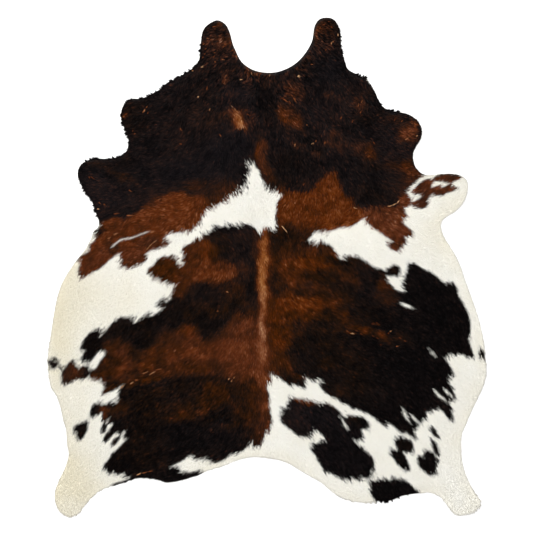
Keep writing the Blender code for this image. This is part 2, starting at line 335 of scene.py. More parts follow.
# White streaks that lie over the dark fields.
whiteStreaks = {
    "leftSlit": [
        (111.5, 246.6), (115, 243.6), (118.6, 240.8), (122, 238.9), (128, 238.2), (134, 236.6),
        (141, 233.9), (147, 231.8), (148.4, 231.9), (146, 232.9), (141, 234.7), (134, 237.5),
        (128, 239.1), (123, 239.7), (119, 241.7), (115.4, 244.5), (112.3, 247.2),
    ],
    "forelegGap": [
        (407, 191.5), (411, 187), (415, 182.5), (419, 179), (424, 175.5), (426, 176.6), (421.5, 180),
        (417.5, 184), (413.5, 188.6), (409.5, 192.6),
    ],
    "flankSlit": [
        (400.5, 303.3), (403.5, 302.8), (406.5, 304.3), (410, 306.1), (413.5, 308.7), (408, 307.8),
        (404, 306.2),
    ],
    "haunchGap": [
        (391, 431), (397, 431.3), (402, 432.8), (407, 434.3), (412, 437.3), (417, 442), (420, 446.5),
        (416.5, 445.8), (411.5, 440.8), (406.5, 437.2), (401.5, 435.6), (396, 435.2),
    ],
    "flankThread": [
        (430.5, 350.5), (432, 351), (435.5, 356), (434.5, 356.6), (431.5, 353),
    ],
    "footThread1": [
        (402.5, 408), (404, 409), (406, 414), (409, 420.5), (407.5, 420.5), (403.5, 414),
    ],
    "footThread2": [
        (411, 414), (413, 416), (420, 423.5), (418.5, 423.5), (412, 418),
    ],
    "footThread3": [
        (444, 388), (446, 389.5), (453, 397), (451.5, 397), (445, 391.5),
    ],
    "footThread4": [
        (433, 389), (435, 390), (440, 395), (447, 401), (445, 401), (436, 394.5),
    ],
    "haunchThread": [
        (341.5, 418.5), (343, 419.5), (344.5, 423), (348.5, 428), (347.5, 428.8), (344, 426),
        (342.5, 422),
    ],
    "waistThread": [
        (103, 395.5), (109, 392.8), (117, 388.8), (123, 385), (118, 390.3), (110, 394.6),
    ],
}

# Fields of one shade inside the dark ones: its points, how soft its edge is in pixels,
# its shade (0 black, 0.75 chestnut, 1 tan, 1.3 pale) and its cast (0 golden, 1 rosy, slate
# on near-black hair, where the slate is partly painted sheen).
shadeFields = {
    "neckBase": ([
        (60, 150), (60, 200), (90, 224), (240, 224), (290, 240), (420, 240), (440, 130), (430, 10),
        (190, 10),
    ], 6, 0.17, 0.7),
    "leftMantle": ([
        (88, 226), (96, 226), (100, 222), (107, 219), (112, 216), (118, 216.5), (124, 217), (128, 215),
        (134, 214), (139, 212), (142, 207), (148, 203.5), (154, 200), (159, 196.5), (165, 193.5),
        (172, 191.5), (180, 191.5), (186, 193.5), (191, 195.5), (197, 193.5), (204, 193.5), (210, 195.5),
        (216, 193), (224, 188), (240, 188), (236, 200), (222, 214), (205, 232), (190, 240), (176, 252),
        (150, 275), (128, 276), (100, 280), (76, 285), (70, 262), (84, 240),
    ], 1.3, 0.72, 0.25),
    "leftRimBlack": ([
        (91, 229), (99, 228.6), (107, 229.8), (104, 232.6), (98, 236.5), (94, 235),
    ], 0.8, 0.1, 0.5),
    "rightChestnut": ([
        (286, 189), (290, 192), (295, 193), (300, 195), (305, 194), (309, 191), (313, 187), (318, 184),
        (321, 180), (323, 176), (326, 173.8), (330, 173), (334, 175), (337, 178), (340, 182), (342, 187),
        (343, 195), (346, 198), (350, 200.5), (354, 203), (358, 206), (361, 208), (363, 211), (362, 222),
        (350, 234), (325, 240), (306, 248), (296, 240), (284, 232), (270, 234), (266, 210), (276, 190),
    ], 1.1, 0.76, 0.1),
    "rightBrown": ([
        (362, 211), (367, 207.5), (374, 206.5), (382, 207), (389, 206.5), (394, 205.5), (397, 202),
        (400, 197), (403, 193), (408, 190), (418, 188), (420, 214), (424, 240), (400, 262), (380, 252),
        (366, 232),
    ], 1.1, 0.76, 0.45),
    "torsoBase": ([
        (146, 268), (172, 253), (200, 240), (214, 226), (262, 222), (300, 240), (345, 245), (400, 262),
        (480, 262), (480, 440), (400, 445), (340, 410), (280, 392), (274, 452), (200, 492), (90, 492),
        (60, 360), (90, 320), (140, 290),
    ], 5, 0.12, 0.5),
    "underStarBlack": ([
        (203, 237), (212, 230), (222, 224), (250, 222), (258, 230), (258, 245), (255, 256), (248, 262),
        (238, 264), (226, 263), (217, 257), (214, 249), (216, 242), (208, 240),
    ], 1.8, 0.11, 0.7),
    "leftHookBrown": ([
        (146, 262), (165, 252), (186, 243), (204, 238), (212, 241), (216, 250), (220, 260), (236, 266),
        (240, 274), (235, 280), (222, 281), (206, 281), (192, 285), (184, 292), (176, 298), (170, 292),
        (150, 282),
    ], 2.2, 0.62, 0.35),
    "leftBrown": ([
        (150, 350), (156, 340), (164, 333), (174, 331), (184, 327), (194, 328), (198, 335), (205, 339.5),
        (213, 336), (220, 331), (226, 326), (232, 319), (242, 315), (259, 318), (262, 345), (262, 390),
        (240, 384), (224, 376), (205, 374), (184, 376), (166, 378), (150, 378), (136, 378), (120, 385),
        (106, 396), (98, 386), (90, 380), (96, 364), (104, 350), (100, 342), (112, 339), (130, 342),
        (140, 350),
    ], 2.4, 0.62, 0.5),
    "rightTorsoBrown": ([
        (270, 230), (345, 245), (385, 270), (396, 300), (362, 330), (330, 335), (292, 340), (290, 372),
        (268, 372),
    ], 3, 0.42, 0.35),
    "spineFootBrown": ([
        (258, 372), (270, 370), (276, 384), (276, 436), (266, 448), (256, 450), (250, 442), (254, 430),
        (255, 400),
    ], 4.5, 0.68, 0.35),
    "haunchShade": ([
        (276, 395), (312, 398), (340, 404), (372, 414), (376, 482), (316, 482), (276, 430),
    ], 2, 0.1, 0.75),
}

# Soft spots of shade. Columns: x, y, half width, half height, turn in degrees
# anticlockwise, shade, cast, strength. The slate spots on the black neck and shoulders
# are partly painted sheen.
shadeSpots = {
    "leftEarLobe": [
        (216, 34, 15, 16, 0, 0.24, 0.5, 0.9), (217, 25, 6, 4, 0, 0.5, 0.3, 0.9),
        (219, 23.5, 2.5, 3, 0, 0.68, 0.1, 0.8), (219, 41, 11, 6, 0, 0.54, 0.55, 0.95),
        (226.5, 45, 3.2, 1.5, 5, 0.9, 0.35, 0.95), (226, 38, 6, 1.5, 3, 0.64, 0.35, 0.7),
        (205, 43.5, 4, 3.5, 0, 0.42, 0.6, 0.8), (211.5, 35.3, 3.4, 0.8, 0, 0.1, 0.5, 0.7),
        (212, 55, 10, 8, 0, 0.32, 0.6, 0.8), (230, 55, 5, 7, 0, 0.36, 0.5, 0.7),
        (208, 30, 5, 5, 0, 0.3, 0.5, 0.5),
    ],
    "leftNeck": [
        (204, 92, 14, 20, 20, 0.23, 0.55, 0.7), (220, 95, 3, 6, 10, 0.38, 0.5, 0.8),
        (240, 94, 16, 9, 0, 0.27, 1, 0.9), (225, 68, 14, 6, 20, 0.26, 0.5, 0.6),
        (233.5, 69.5, 3, 1, 20, 0.6, 0.4, 0.8), (226.5, 72.5, 3, 1.3, 15, 0.66, 0.7, 0.8),
        (226, 77.8, 3.4, 1.4, 0, 0.86, 0.6, 0.9), (226.5, 81.2, 3.2, 1.5, 0, 0.98, 0.6, 0.95),
        (228, 75.5, 1.4, 1, 0, 0.02, 0.5, 0.8), (230, 81.5, 1.2, 1.6, 0, 0.05, 0.5, 0.7),
        (250, 80, 12, 6, -25, 0.33, 0.7, 0.7), (253.5, 73, 4, 2, -20, 0.6, 0.25, 0.8),
        (268, 80, 9, 8, 0, 0.24, 0.35, 0.8), (261, 101, 5.5, 12, 0, 0.03, 0.4, 1),
        (268, 118, 6, 14, 0, 0.13, 0.5, 0.8), (266, 135, 10, 5, 0, 0.17, 0.8, 0.7),
        (236.5, 112.5, 4.5, 2.2, -15, 0.95, 0.45, 0.9), (238, 127, 2.5, 2.5, 0, 1, 0.5, 0.8),
        (249, 122, 3, 6, 10, 0.5, 0.9, 0.7), (254, 117, 3.4, 6, 0, 0.44, 1, 0.7),
        (247.5, 111, 2.5, 4, 30, 0.5, 1, 0.7), (225.5, 114.5, 8, 2.6, 12, 0.68, 0.6, 0.9),
        (212.5, 119.8, 5, 1.6, 5, 0.76, 0.6, 0.85), (204, 118, 4, 3, 0, 0.48, 0.5, 0.6),
        (227, 117.5, 3, 1, 15, 0.3, 0.6, 0.6), (222, 125, 10, 4, 0, 0.3, 0.6, 0.6),
        (210, 128, 14, 7, 0, 0.26, 0.5, 0.6), (245, 142, 6, 8, 0, 0.2, 0.95, 0.7),
        (222, 119, 12, 3, 5, 0.4, 0.3, 0.8), (240, 122, 6.5, 10, 25, 1.1, 0.05, 1),
        (241.5, 124, 4.5, 7, 20, 1.3, 0.1, 1),
    ],
    "leftShoulder": [
        (136, 118, 14, 18, 0, 0.16, 0.2, 0.8), (128, 112, 5, 8, 0, 0.26, 0.3, 0.6),
        (123.5, 116.5, 2.2, 2.2, 0, 0.8, 0.3, 0.95), (170, 118, 24, 16, 10, 0.18, 0.6, 0.8),
        (202, 128, 14, 18, 10, 0.27, 0.5, 0.7), (181, 143, 4, 4.5, 20, 0.48, 0.7, 0.85),
        (172, 153, 9, 3.5, 20, 0.34, 0.65, 0.8), (156, 162, 8, 3.6, 10, 0.36, 0.7, 0.85),
        (161, 163, 2, 1.5, 0, 0.5, 0.7, 0.7), (150, 162.5, 2, 1.2, 0, 0.5, 0.6, 0.7),
        (190, 170, 30, 14, 5, 0.16, 1, 0.95), (226, 152, 24, 22, 0, 0.17, 1, 0.95),
        (145, 176, 18, 10, 10, 0.13, 0.8, 0.8), (122, 163, 12, 5, 5, 0.08, 0.4, 0.9),
        (146, 196, 16, 8, 20, 0.24, 0.7, 0.8), (198, 181, 20, 1.6, 2, 0.42, 0.6, 0.8),
        (192, 186.5, 20, 1.6, 3, 0.4, 0.55, 0.8), (196, 193.5, 11, 1.2, -3, 0.12, 0.5, 0.9),
        (222, 184, 14, 2.2, 12, 0.34, 0.6, 0.7), (170, 189, 6, 1.5, 10, 0.38, 0.6, 0.6),
        (240, 174, 4, 12, -10, 0.15, 0.8, 0.7), (212, 200, 9, 3, 30, 0.34, 0.6, 0.6),
    ],
    "leftForeleg": [
        (95, 178, 20, 18, -20, 0.22, 0.85, 0.85), (96, 163.5, 9, 3, 3, 0.43, 0.5, 0.9),
        (84, 172, 5, 8, -20, 0.13, 0.7, 0.8), (118, 173, 13, 2.4, -24, 0.42, 0.5, 0.9),
        (112, 178, 13, 1.8, -28, 0.08, 0.5, 0.85), (110, 196, 22, 12, -20, 0.28, 0.9, 0.85),
        (135, 186, 10, 3, -25, 0.3, 0.6, 0.6), (91, 185, 8, 0.8, -50, 0.5, 0.95, 0.7),
        (95, 183, 8, 0.8, -50, 0.45, 0.95, 0.6), (88, 187, 6, 0.8, -50, 0.42, 0.95, 0.6),
        (104, 210, 8, 4, 10, 0.3, 0.7, 0.6), (118, 208, 10, 3, 5, 0.36, 0.7, 0.6),
        (96, 166, 12, 3, -5, 0.27, 0.5, 0.8), (120, 175, 14, 3, -28, 0.3, 0.2, 0.85),
    ],
    "leftMantle": [
        (182, 205, 22, 9, 10, 0.82, 0.2, 0.8), (140, 226, 26, 6, 8, 0.68, 0.25, 0.7),
        (205, 206, 10, 7, 40, 0.7, 0.2, 0.7), (178, 222, 16, 8, 10, 0.76, 0.25, 0.7),
        (98, 262, 22, 8, 35, 0.66, 0.45, 0.8), (140, 255, 20, 9, 15, 0.64, 0.5, 0.8),
        (150, 240, 16, 4, 20, 0.6, 0.55, 0.6), (110, 246, 10, 8, 30, 0.6, 0.45, 0.6),
        (128, 220, 16, 2, 8, 0.78, 0.3, 0.5), (222, 190, 16, 8, 25, 0.36, 0.35, 0.9),
        (198, 185, 14, 5, 0, 0.42, 0.3, 0.8),
    ],
    "spine": [
        (260, 152, 4.6, 12, 0, 0.7, 0.3, 0.95), (262.5, 150, 2, 10, 0, 0.78, 0.55, 0.6),
        (257, 152, 1.4, 9, 0, 0.6, 0, 0.8), (265, 168, 4.2, 9, 12, 0.72, 0.45, 0.95),
        (270, 180, 5.5, 8, 25, 0.56, 0.2, 0.9), (276, 182, 5, 7, 10, 0.46, 0.25, 0.8),
        (281, 172, 1.5, 4, 20, 0.34, 0.6, 0.5), (263.5, 250, 5.5, 26, 0, 1.12, 0.1, 1),
        (263, 280, 5.2, 18, 0, 1.14, 0.1, 1), (262.8, 306, 4, 14, 0, 1.22, 0.4, 1),
        (262, 330, 4.6, 16, 0, 1.24, 0.6, 1), (262.5, 356, 5.5, 13, 0, 1.2, 0.55, 1),
        (261, 378, 6.5, 12, 0, 0.88, 0.4, 0.9), (264, 232, 3.5, 4, 0, 0.95, 0.2, 0.9),
        (264, 412, 4.5, 18, 0, 0.72, 0.4, 0.9),
    ],
    "rightEarLobe": [
        (326, 27, 13, 9, 0, 0.42, 0.15, 0.9), (316, 35, 3.4, 10, -10, 0.64, 0.1, 0.9),
        (327, 34, 6, 4, 0, 0.13, 0.4, 0.9), (330, 48, 8, 8, 0, 0.36, 0.6, 0.8),
        (317.5, 45.5, 3, 2.2, 0, 0.54, 0.9, 0.9), (313, 54, 6, 5, 40, 0.2, 0.8, 0.7),
        (338, 45, 3, 9, 0, 0.1, 0.4, 0.6),
    ],
    "rightNeck": [
        (288, 83, 9, 10, 0, 0.42, 0.6, 0.8), (294, 92, 7, 7, 30, 0.6, 0.5, 0.85),
        (286, 99, 6, 4, 0, 0.56, 0.4, 0.8), (270, 103, 5, 9, 0, 0.06, 0.3, 0.8),
        (273, 88, 6, 9, 0, 0.2, 0.5, 0.6), (283, 112, 7, 5.5, 0, 0.77, 0.25, 0.9),
        (292, 119, 9, 9, 30, 0.69, 0.25, 0.95), (286, 121, 6, 2.4, -25, 0.67, 0, 0.8),
        (297, 125, 5.5, 5, 0, 0.73, 0.35, 0.8), (303, 131, 4, 3, -30, 0.5, 0.5, 0.7),
        (289, 135, 9, 4, 0, 0.3, 0.7, 0.7), (279.5, 106, 3, 5, 0, 0.66, 0.4, 0.7),
        (302, 60, 6, 6, 45, 0.32, 0.3, 0.7), (299, 69, 5, 1.4, -15, 0.56, 0.2, 0.7),
        (311, 72, 8, 9, 0, 0.2, 0.4, 0.6), (331, 70, 13, 15, 0, 0.15, 1, 0.95),
        (345, 82, 6, 8, 0, 0.23, 0.8, 0.6), (359, 91, 10, 7, 0, 0.27, 0.6, 0.7),
        (329.5, 95.5, 3, 4, 10, 0.54, 0.5, 0.8), (340, 97, 8, 5, 0, 0.3, 0.6, 0.5),
        (317, 114, 9, 12, 0, 0.22, 1, 0.85), (342, 113, 16, 11, 0, 0.3, 0.8, 0.7),
        (360, 103.5, 4, 6, 0, 0.62, 0.6, 0.85), (360.5, 113, 2.5, 3, 0, 0.5, 0.5, 0.6),
        (366, 105, 2, 6, 0, 0.1, 0.4, 0.6), (372, 94, 5, 8, 0, 0.26, 0.4, 0.5),
        (365, 121, 13, 4.5, 0, 0.12, 0.3, 0.9), (380, 112, 5, 8, -30, 0.1, 0.3, 0.8),
    ],
    "notchRim": [
        (230.2, 35.5, 1.2, 5.5, 15, 1, 0.1, 0.9), (232.8, 45, 1.2, 5.5, 17, 1, 0.1, 0.9),
        (237, 55, 1.2, 6, 30, 0.95, 0.1, 0.9), (243.3, 64, 1.2, 5, 48, 1, 0.1, 0.9),
        (250.8, 69.6, 5.5, 1.2, -27, 1.1, 0.1, 0.9), (259, 72.5, 5, 1.2, -10, 0.95, 0.1, 0.9),
        (268, 73.5, 6, 1.1, 0, 0.85, 0.1, 0.8), (286, 69.5, 7, 1, 22, 0.1, 0.3, 0.7),
    ],
    "rightShoulder": [
        (335, 134, 6, 3, 10, 0.6, 0.55, 0.8), (338, 144, 12, 6, 0, 0.46, 0.6, 0.8),
        (325, 143, 3, 4, 0, 0.5, 0.6, 0.6), (302, 137, 5, 3, -20, 0.1, 0.5, 0.6),
        (307, 142, 3, 3, 0, 0.03, 0.3, 0.9), (314, 149, 5, 1.6, -35, 0.02, 0.2, 0.9),
        (321.5, 153, 3.4, 1.5, -25, 0.03, 0.2, 0.9), (311, 139, 3, 1.5, 0, 0.06, 0.3, 0.7),
        (318, 155.5, 8, 2.2, -18, 0.5, 0.5, 0.85), (297, 145, 6, 3.2, 0, 0.55, 0.55, 0.85),
        (291, 146, 1.6, 4, 10, 0.03, 0.4, 0.8), (358, 150, 5, 8, 0, 0.55, 0.6, 0.85),
        (371, 150, 8, 9, 10, 0.5, 0.15, 0.9), (371, 154, 5, 4, 0, 0.58, 0.1, 0.6),
        (349, 155, 5, 6, 0, 0.22, 0.7, 0.6), (386, 145, 8, 14, 0, 0.22, 0.95, 0.8),
        (395, 139, 6, 8, 0, 0.2, 1, 0.8), (397, 121, 8, 4, -10, 0.42, 0.5, 0.8),
        (385, 122, 6, 5, 0, 0.2, 0.6, 0.6), (409, 133, 9, 8, 20, 0.78, 0.4, 0.95),
        (415.5, 123.5, 4, 4.5, 0, 0.88, 0.2, 0.9), (419.5, 133, 1.6, 7, 0, 0.2, 0.7, 0.8),
        (404, 141, 5, 1.6, 20, 0.5, 0.5, 0.7), (406, 151, 7, 6, 0, 0.27, 0.9, 0.85),
        (397, 166, 9, 5, -10, 0.46, 0.3, 0.85), (408, 168, 5.5, 9, 0, 0.74, 0.12, 0.95),
        (417, 173.5, 6, 4, -15, 0.86, 0.3, 0.95), (375, 166, 12, 4, 0, 0.3, 0.1, 0.6),
        (395, 182, 18, 6, 0, 0.13, 0.7, 0.9), (372, 195, 18, 10, 0, 0.12, 0.3, 0.9),
        (357, 191, 5.5, 4, 0, 0.36, 0.6, 0.8), (362, 186, 3, 1.2, -40, 0.02, 0.2, 0.6),
        (366, 191, 1.2, 4, 0, 0.02, 0.2, 0.6), (340, 165, 12, 5, 0, 0.12, 0.7, 0.8),
        (315, 168, 16, 6, 0, 0.16, 0.5, 0.7), (288, 162, 18, 12, 0, 0.15, 0.3, 0.8),
        (304, 184, 6, 5, 10, 0.42, 0.5, 0.85), (288, 183, 12, 5, 0, 0.22, 0.2, 0.7),
    ],
    "rightChestnut": [
        (330, 184, 8, 9, 0, 0.8, 0.15, 0.7), (300, 206, 14, 9, 0, 0.72, 0.1, 0.6),
        (340, 212, 14, 8, 0, 0.78, 0.15, 0.5), (286, 212, 8, 12, 0, 0.7, 0.15, 0.5),
        (316, 222, 14, 5, 0, 0.7, 0.1, 0.6), (395, 222, 16, 12, -20, 0.78, 0.45, 0.6),
        (405, 200, 5, 6, 0, 0.74, 0.3, 0.7), (396, 246, 8, 5, 20, 0.78, 0.5, 0.7),
        (292, 236, 12, 5, -20, 0.5, 0.2, 0.8),
    ],
    "forelegStripes": [
        (440, 184, 34, 14, 0, 0.74, 0.5, 1), (422, 203, 14, 8, 0, 0.66, 0.6, 0.8),
        (447, 177, 12, 4, 0, 0.66, 0.4, 0.8),
    ],
    "underStar": [
        (222, 229, 14, 4, 8, 0.1, 0.4, 0.95), (222, 236.5, 10, 3, 0, 0.38, 0.25, 0.85),
        (224, 249, 8, 9, 0, 0.32, 0.2, 0.9), (217.5, 250, 2, 8, 0, 0.15, 0, 0.7),
        (232, 256, 10, 6, 0, 0.25, 0.4, 0.9), (243, 239, 9, 11, 0, 0.3, 0.5, 0.9),
        (246, 254, 6, 4, 0, 0.22, 0.4, 0.7), (254, 245, 2.4, 17, 0, 0.48, 0.45, 0.8),
        (229, 272, 9, 7, 0, 0.8, 0.35, 0.9), (245, 271, 5.5, 9, 0, 0.52, 0.55, 0.9),
        (205, 251, 9, 11, 0, 0.66, 0, 0.85), (214.5, 253, 3, 9, 0, 0.42, 0, 0.7),
        (192, 263, 9, 18, 0, 0.68, 0.2, 0.7), (212, 273, 12, 8, 0, 0.79, 0.2, 0.85),
        (168, 269, 13, 12, 0, 0.54, 0, 0.9), (157, 273, 8, 4, -35, 0.42, 0, 0.6),
        (182, 290, 8, 8, 0, 0.6, 0.1, 0.85), (253.5, 284, 2.2, 13, 0, 0.18, 0.1, 0.85),
        (254.5, 298, 2, 6, 0, 0.1, 0.5, 0.8),
    ],
    "leftCloud": [
        (206, 291.5, 17, 7.5, 3, 0.24, 0.5, 0.95), (181, 304, 9, 6, 0, 0.12, 0.3, 0.9),
        (227, 291, 5, 8, 0, 0.46, 0.35, 0.8), (238.5, 291, 7, 6, 0, 0.58, 0.15, 0.85),
        (237, 303, 6, 5, 0, 0.23, 0, 0.9), (248, 302, 5, 5, 0, 0.54, 0.35, 0.7),
        (253.5, 307.5, 4, 4, 0, 0.4, 0.75, 0.8), (199, 304, 8, 4, 0, 0.45, 0.45, 0.8),
        (214, 304, 8, 4, 0, 0.32, 0.3, 0.7), (211, 313, 11, 5, 0, 0.34, 0, 0.85),
        (192, 314, 9, 9, 0, 0.24, 0, 0.8), (172, 314, 10, 12, 20, 0.13, 0.3, 0.9),
        (212, 327, 12, 10, 25, 0.16, 0.3, 0.97), (227, 309, 5, 9, 0, 0.3, 0, 0.7),
        (251, 313, 7, 4, 0, 0.45, 0.05, 0.7), (238, 316, 5, 4, 0, 0.68, 0.15, 0.7),
        (165, 302, 5, 2, 20, 0.38, 0, 0.8), (165, 327, 5, 4, 0, 0.36, 0.65, 0.7),
        (188, 329, 8, 4, 0, 0.54, 0.1, 0.8),
    ],
    "leftFringe": [
        (93, 343, 9, 9, -40, 0.03, 0, 1), (128, 327, 22, 9, 20, 0.1, 0.2, 0.95),
        (126, 324, 9, 4, 15, 0.2, 0.4, 0.7), (130, 329.7, 2, 0.8, 10, 0.5, 0.35, 0.7),
        (147, 337, 6, 9, -20, 0.1, 0, 0.9), (116, 345, 11, 5, 15, 0.4, 0.2, 0.9),
        (132, 352, 5.5, 8, 15, 0.16, 0.1, 0.95), (117, 362, 5.5, 4, 0, 0.2, 0, 0.9),
        (128, 372, 10, 2, 0, 0.18, 0.1, 0.9), (108, 359, 8, 8, 0, 0.35, 0.05, 0.8),
        (105, 374, 14, 6, 5, 0.45, 0, 0.85), (112, 387, 7, 5, 20, 0.34, 0, 0.85),
        (154, 352, 14, 7, 20, 0.6, 0.15, 0.8), (165, 336, 9, 6, 10, 0.42, 0.25, 0.85),
        (163, 303, 8, 3, 30, 0.3, 0, 0.8), (160, 305, 5, 1.6, 30, 0.05, 0, 0.8),
        (152, 317, 10, 4, 20, 0.05, 0, 0.8),
    ],
    "leftWaist": [
        (170, 352, 20, 9, 8, 0.64, 0.2, 0.8), (208, 350, 22, 10, 5, 0.71, 0.25, 0.8),
        (246, 352, 16, 26, 0, 0.79, 0.35, 0.85), (187, 332, 9, 5, 0, 0.54, 0.15, 0.8),
        (150, 365, 14, 6, 10, 0.54, 0.05, 0.8), (196, 368, 26, 5, 0, 0.47, 0.1, 0.85),
        (191, 367, 7, 3.5, 0, 0.35, 0.05, 0.7), (206, 379, 20, 2.2, 3, 0.14, 0.1, 0.95),
        (143, 380, 24, 4, 15, 0.54, 0, 0.9), (155, 391, 24, 6, 5, 0.2, 0.3, 0.9),
        (179, 386, 9, 7, 0, 0.25, 0, 0.8), (217, 391, 20, 8, 0, 0.48, 0, 0.9),
        (210, 387, 6, 4, 0, 0.58, 0, 0.6), (251, 391, 9, 9, 0, 0.5, 0.15, 0.8),
        (242, 388, 4, 5, 0, 0.26, 0, 0.7), (145, 405, 17, 14, 0, 0.19, 0, 0.9),
        (160, 405, 9, 4, 0, 0.12, 0.1, 0.7), (181, 418, 14, 9, 10, 0.44, 0.05, 0.9),
        (187, 418, 7, 5, 0, 0.54, 0.05, 0.6), (214, 403, 18, 8, 15, 0.5, 0, 0.9),
        (207, 401, 8, 6, 10, 0.6, 0, 0.7), (243, 402, 8, 8, 0, 0.34, 0.35, 0.8),
        (218, 418, 22, 3.4, 17, 0.12, 0.1, 0.95), (237, 424, 14, 4, 25, 0.45, 0.1, 0.9),
        (251, 408, 5, 24, 0, 0.5, 0.1, 0.8), (243, 406, 9, 22, -8, 0.36, 0.1, 0.7),
        (251, 438, 11, 5, 10, 0.46, 0.05, 0.85), (118, 408, 9, 6, 15, 0.54, 0.25, 1),
        (124, 395, 6, 6, 0, 0.06, 0, 0.8), (119, 407.5, 7, 5, 0, 0.6, 0.15, 1),
        (190, 408, 26, 10, 15, 0.38, 0.15, 0.6),
    ],
    "leftRump": [
        (145, 445, 22, 26, 0, 0.1, 0, 0.9), (141, 455, 12, 14, 0, 0.14, 0.1, 0.7),
        (205, 440, 42, 11, 3, 0.07, 0.6, 0.97), (180, 431, 18, 6, 0, 0.05, 0.6, 0.8),
        (115, 461, 10, 10, 0, 0.08, 0, 0.8), (175, 474, 20, 7, 0, 0.06, 0.5, 0.8),
        (142, 473.5, 9, 1, 5, 0.4, 0.6, 0.7),
    ],
    "rightTop": [
        (276, 262, 5, 34, 0, 0.4, 0.15, 0.8), (286, 236, 14, 6, -8, 0.15, 0, 0.95),
        (288, 247, 14, 4.5, -5, 0.3, 0.1, 0.9), (311, 248, 11, 5, -3, 0.566, 0.35, 0.9),
        (314, 242.3, 11, 1.1, 0, 0.03, 0, 0.95), (328, 252, 9, 6, -25, 0.48, 0.2, 0.9),
        (336.5, 255.5, 1.2, 2.4, 25, 0.812, 0, 0.8), (310, 262, 30, 8, 0, 0.716, 0, 0.95),
        (285, 260, 5, 6, 0, 0.738, 0.2, 0.7), (314, 267.5, 28, 2.6, 0, 0.802, 0, 0.8),
        (331, 261.5, 10, 3, -4, 0.27, 0, 0.9), (344, 264, 8, 3.4, 0, 0.1, 0, 0.9),
        (354, 263.5, 3, 2.4, 0, 0.38, 0.05, 0.8), (345, 258.5, 7, 2, 0, 0.3, 0, 0.7),
        (369, 277, 15, 11, -25, 0.19, 0.45, 0.95), (297, 277, 14, 4, 0, 0.7, 0.05, 0.8),
        (286, 282, 9, 18, 0, 0.68, 0.1, 0.35), (321, 277, 14, 5, 0, 0.3, 0, 0.9),
        (333, 273.5, 6, 1.6, 0, 0.588, 0, 0.8), (348, 276, 12, 6, -10, 0.45, 0.15, 0.8),
        (354, 281.5, 13, 1.8, -18, 0.566, 0.35, 0.8), (275, 278, 4, 7, 0, 0.28, 0.2, 0.7),
        (286.5, 286.5, 5.5, 3.4, -15, 0.27, 0.2, 0.8), (297, 286, 5, 5, 0, 0.78, 0.15, 0.7),
        (310, 287, 3, 5, 0, 0.46, 0.45, 0.7), (320, 287, 10, 3, -8, 0.609, 0.25, 0.7),
    ],
    "rightMiddle": [
        (345, 292, 16, 8, -12, 0.3, 0.2, 0.9), (320, 294, 9, 3, 0, 0.24, 0, 0.85),
        (299, 293.5, 3.4, 3, 0, 0.2, 0.2, 0.8), (367, 297, 9, 13, -30, 0.13, 0.6, 0.95),
        (381, 286, 4, 6, 0, 0.609, 0, 0.9), (389, 286.5, 5, 3, -35, 0.812, 0.15, 0.9),
        (387, 301, 10, 6, -35, 0.588, 0.35, 0.95), (391.5, 300, 3, 3.5, 0, 0.812, 0.35, 0.8),
        (300, 306, 30, 10, 0, 0.72, 0, 0.95), (303, 304, 20, 5, 0, 0.72, 0, 0.6),
        (317.5, 299.5, 5, 1.4, 0, 0.68, 0, 0.9), (274, 316, 7, 9, 0, 0.607, 0, 0.9),
        (300, 317, 20, 4, 0, 0.609, 0, 0.7), (336, 305, 8, 6, 0, 0.588, 0.15, 0.8),
        (352, 300, 8, 5, -10, 0.38, 0.15, 0.8), (346, 314, 3, 3.4, 0, 0.812, 0.05, 0.9),
        (352, 314, 4, 5, 0, 0.12, 0.5, 0.85), (331, 318, 13, 6, -5, 0.42, 0.05, 0.85),
        (345, 322, 6, 3, -35, 0.46, 0.15, 0.8), (319, 325, 17, 5, 0, 0.22, 0.3, 0.9),
        (375, 315, 20, 10, -10, 0.11, 0.2, 0.95), (281, 335, 11, 18, 0, 0.618, 0, 0.95),
        (280, 342, 6, 6, 0, 0.746, 0, 0.7), (280, 362, 12, 9, 0, 0.545, 0.15, 0.95),
        (299, 344, 6, 8, 0, 0.19, 0.1, 0.9), (325, 342, 20, 12, 0, 0.2, 0.1, 0.95),
        (328, 362, 18, 10, 0, 0.21, 0, 0.9), (340, 361, 4, 6, 0, 0.08, 0.1, 0.8),
        (296, 375, 8, 3.4, -15, 0.46, 0.25, 0.9), (299.5, 376, 4, 1.4, -20, 0.695, 0.05, 0.8),
        (292, 381, 8, 4, -10, 0.2, 0.1, 0.8), (366, 331, 11, 4.5, -10, 0.588, 0, 0.95),
        (382, 337, 7, 4, -15, 0.802, 0, 0.95), (404, 339, 10, 5, -20, 0.652, 0, 0.95),
        (351, 333.2, 5, 1.2, -8, 0.95, 0.1, 0.95), (375.5, 323.5, 4, 1.4, -10, 0.887, 0.35, 0.9),
        (398, 346, 4, 1.6, 0, 0.545, 0.75, 0.8), (363, 331, 6, 2.6, -15, 0.68, 0.05, 0.9),
        (384, 338, 7, 3, -20, 0.82, 0.05, 0.9), (404, 339, 8, 3.4, -20, 0.72, 0.05, 0.9),
        (393, 345, 5, 2, -20, 0.55, 0.05, 0.8),
    ],
    "rightFlank": [
        (360, 375, 18, 26, 0, 0.2, 0.1, 0.9), (338, 391, 9, 6, -20, 0.35, 0.25, 0.85),
        (350, 397, 5, 4, 0, 0.24, 0, 0.7), (388, 385, 16, 34, 0, 0.06, 0.45, 0.95),
        (435, 340, 40, 74, 0, 0.03, 0.45, 0.9), (372, 412, 34, 10, -20, 0.04, 0.4, 0.9),
        (412, 382, 22, 22, 0, 0.03, 0.5, 0.9),
    ],
    "rightHaunch": [
        (292, 415, 11, 13, 0, 0.29, 0.85, 0.9), (322, 418, 18, 12, -10, 0.2, 0.95, 0.9),
        (296, 399.5, 5, 1.6, -20, 0.85, 0, 0.95), (306, 402.5, 7, 1.5, -12, 0.85, 0, 0.95),
        (319, 403.2, 7, 1.2, -2, 0.8, 0, 0.95), (331, 406.5, 6, 1.2, -32, 0.5, 0, 0.9),
